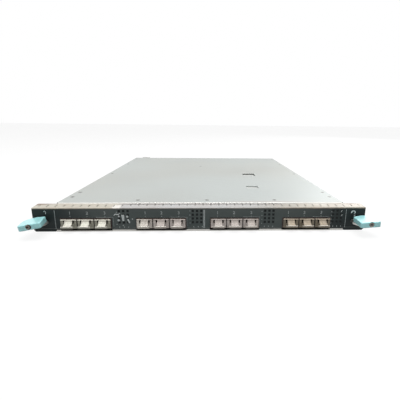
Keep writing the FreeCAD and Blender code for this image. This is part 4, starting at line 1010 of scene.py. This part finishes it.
def addDigit(work, digit, x):
    curve = bpy.data.curves.new("digits", "FONT")
    curve.body = str(digit)
    curve.size = printLook["digit"]
    curve.align_x = curve.align_y = "CENTER"
    curve.extrude = printLook["depth"] / 2
    curve.offset = printLook["bold"]
    mesh = evaluatedMesh(linkedObject("digits", curve))
    place = Matrix.Translation((x * mm, printLook["front"], printLook["digitHeight"] * mm))
    mesh.transform(place @ Matrix.Rotation(math.radians(90), 4, "X"))
    work.from_mesh(mesh)
    bpy.data.meshes.remove(mesh)


def placeMarks(work, name, finish):
    newPiece(name, closedMesh(work, name), "root", finishes[finish])


def panelPrint():
    work = bmesh.new()
    for numbers in portNumbers:
        for digit, x in enumerate(numbers, 1):
            addDigit(work, digit, x)
            addDot(work, x, printLook["dotHeight"], printLook["dot"], corners=3)
    top, foot = printLook["lineEnds"]
    for x, width in panelLines:
        addStroke(work, [(x, top), (x, foot)], width)
    height = printLook["bracketHeight"]
    for right in bracketEnds:
        addStroke(work, [(right - printLook["bracketWidth"], height), (right, height)], printLook["bracket"])
        addStroke(work, [(right, height), (right, printLook["bracketFoot"])], printLook["bracket"])
    low, high = printLook["labelEnds"]
    for x in columnLabels:
        addStroke(work, [(x, low), (x, high)], printLook["label"])
    for x, heights in rowLabels:
        for z in heights:
            addDot(work, x, z, printLook["rowDot"])
    placeMarks(work, "panel_print", "print")


# points and widths of each stroke
leftArrow = (((-201.3, 26.6), (-200.9, 27.6), (-200.0, 28.0), (-199.2, 27.2), (-199.1, 25.6),
              (-199.6, 23.8)), 0.5)
rightArrow = (((197.0, 24.3), (197.9, 26.2), (199.6, 27.1), (201.4, 26.7), (202.5, 25.3), (202.0, 24.0),
               (200.8, 23.3)), (1.9, 1.6, 1.3, 1.3, 1.3, 1.1, 0.7))
crossLook = {"low": (200.9, 19.6), "high": (202.9, 21.6), "width": 0.7, "lift": 0.01 * mm}
scuffLift = 0.02 * mm
scuffs = ((((-114.4, 21.7), (-112.4, 23.4), (-109.9, 23.1), (-108.2, 23.1), (-106.5, 24.7)),
           (1.0, 1.4, 1.4, 1.3, 0.7)),
          (((-103.0, 22.4), (-102.8, 18.6), (-102.6, 14.3)), (3.6, 3.2, 2.4)),
          (((-96.9, 17.0), (-95.8, 14.2), (-94.8, 11.4)), (1.6, 2.2, 1.4)),
          (((183.0, 26.0), (184.6, 27.8)), 0.9), (((183.6, 20.3), (185.2, 22.1)), 0.9))
# x, height and radius
chippedDots = ((-108.0, 20.5, 1.1), (-108.7, 15.2, 1.5), (-97.4, 20.1, 1.4), (-102.9, 8.2, 0.6),
               (-91.0, 16.9, 0.8), (-110.9, 25.9, 0.5), (-110.9, 9.8, 0.5))


def turnArrows():
    # the curved arrows that show which way the handles turn, and a small cross under the right one
    work = bmesh.new()
    addStroke(work, *leftArrow)
    addStroke(work, *rightArrow)
    (left, foot), (right, top) = crossLook["low"], crossLook["high"]
    addStroke(work, [(left, top), (right, foot)], crossLook["width"], crossLook["lift"])
    addStroke(work, [(right, top), (left, foot)], crossLook["width"])
    placeMarks(work, "turn_arrows", "bright")


def rubbedMarks():
    # bright scuffs over the first indicators, and two short ones over the last
    work = bmesh.new()
    for points, widths in scuffs:
        addStroke(work, points, widths, scuffLift)
    for x, z, radius in chippedDots:
        addDot(work, x, z, radius, scuffLift)
    placeMarks(work, "rubbed_marks", "scuff")


panelPrint()
turnArrows()
rubbedMarks()
print("panel marks made")


# Studio: white all round, a pale floor and large soft lamps

studio = {"worldLight": 0.24, "floorLift": 0.86, "floorPaint": 0.14, "floorHalf": 6.0,
          "floorDrop": 0.05 * mm}
# place, aim, size and power
lamps = {"topLamp": ((0.0, -0.5, 1.6), (0.0, 0.0, 0.0), 1.4, 26.0),
         "leftLamp": ((-1.6, -0.9, 0.9), (0.0, -0.1, 0.0), 1.2, 6.0),
         "rightLamp": ((1.6, -0.9, 0.9), (0.0, -0.1, 0.0), 1.2, 4.0),
         "rearLamp": ((1.3, 1.5, 0.9), (0.15, -0.1, 0.0), 1.2, 10.0)}


def seenBy(tree, *rays):
    # 1 for the camera's rays and the others named, 0 for the light that falls on the object
    path = addNode(tree, "ShaderNodeLightPath").outputs
    seen = path["Is Camera Ray"]
    for ray in rays:
        seen = maths(tree, "MAXIMUM", seen, path[ray])
    return seen


def whiteWorld():
    world = bpy.data.worlds.new("studio")
    bpy.context.scene.world = world
    world.use_nodes = True
    tree = world.node_tree
    tree.nodes.clear()
    seen = seenBy(tree, "Is Glossy Ray", "Is Transmission Ray")
    strength = remap(tree, seen, 0.0, 1.0, studio["worldLight"], 1.0)
    light = addNode(tree, "ShaderNodeBackground", {"Color": (1, 1, 1, 1), "Strength": strength})
    output = addNode(tree, "ShaderNodeOutputWorld")
    link(tree, light.outputs[0], output.inputs[0])


def paleFloor():
    half, paint = studio["floorHalf"], studio["floorPaint"]
    mesh = bpy.data.meshes.new("floor")
    corners = [(-half, -half), (half, -half), (half, half), (-half, half)]
    mesh.from_pydata([(x, y, -studio["floorDrop"]) for x, y in corners], [], [(0, 1, 2, 3)])
    material, tree = startFinish("floorPaper", Roughness=0.9, Specular_IOR_Level=0.1)
    shader = tree.nodes["Principled BSDF"].inputs
    shader["Base Color"].default_value = (paint, paint, paint, 1)
    shader["Emission Color"].default_value = (1, 1, 1, 1)
    lift = times(tree, seenBy(tree, "Is Glossy Ray"), studio["floorLift"])
    link(tree, lift, shader["Emission Strength"])
    mesh.materials.append(material)
    linkedObject("floor", mesh)


def softLamp(name, place, aim, size, power):
    lamp = bpy.data.lights.new(name, "AREA")
    lamp.shape = "SQUARE"
    lamp.size = size
    lamp.energy = power
    holder = linkedObject(name, lamp)
    holder.location = place
    holder.rotation_euler = (Vector(aim) - Vector(place)).to_track_quat("-Z", "Y").to_euler()


cameraFit = {"place": (0.00492, -0.66808, 0.14452), "yaw": 0.0530, "pitch": 0.2515, "roll": 0.0124,
             "lens": 28.719, "shift": -0.05799}


def photoCamera():
    yaw, pitch, roll = cameraFit["yaw"], cameraFit["pitch"], cameraFit["roll"]
    ahead = Vector((math.sin(yaw) * math.cos(pitch), math.cos(yaw) * math.cos(pitch), -math.sin(pitch)))
    across = ahead.cross(Vector((0, 0, 1))).normalized()
    upward = across.cross(ahead)
    right = across * math.cos(roll) + upward * math.sin(roll)
    over = upward * math.cos(roll) - across * math.sin(roll)
    lens = bpy.data.cameras.new("camera")
    lens.lens = cameraFit["lens"]
    lens.shift_x = cameraFit["shift"]
    lens.clip_start = 0.01
    camera = linkedObject("camera", lens)
    turn = Matrix((right, over, -ahead)).transposed().to_4x4()
    camera.matrix_world = Matrix.Translation(cameraFit["place"]) @ turn
    bpy.context.scene.camera = camera


whiteWorld()
paleFloor()
for name, (place, aim, size, power) in lamps.items():
    softLamp(name, place, aim, size, power)
photoCamera()
bpy.context.scene.view_settings.view_transform = "Standard"
print("studio ready")
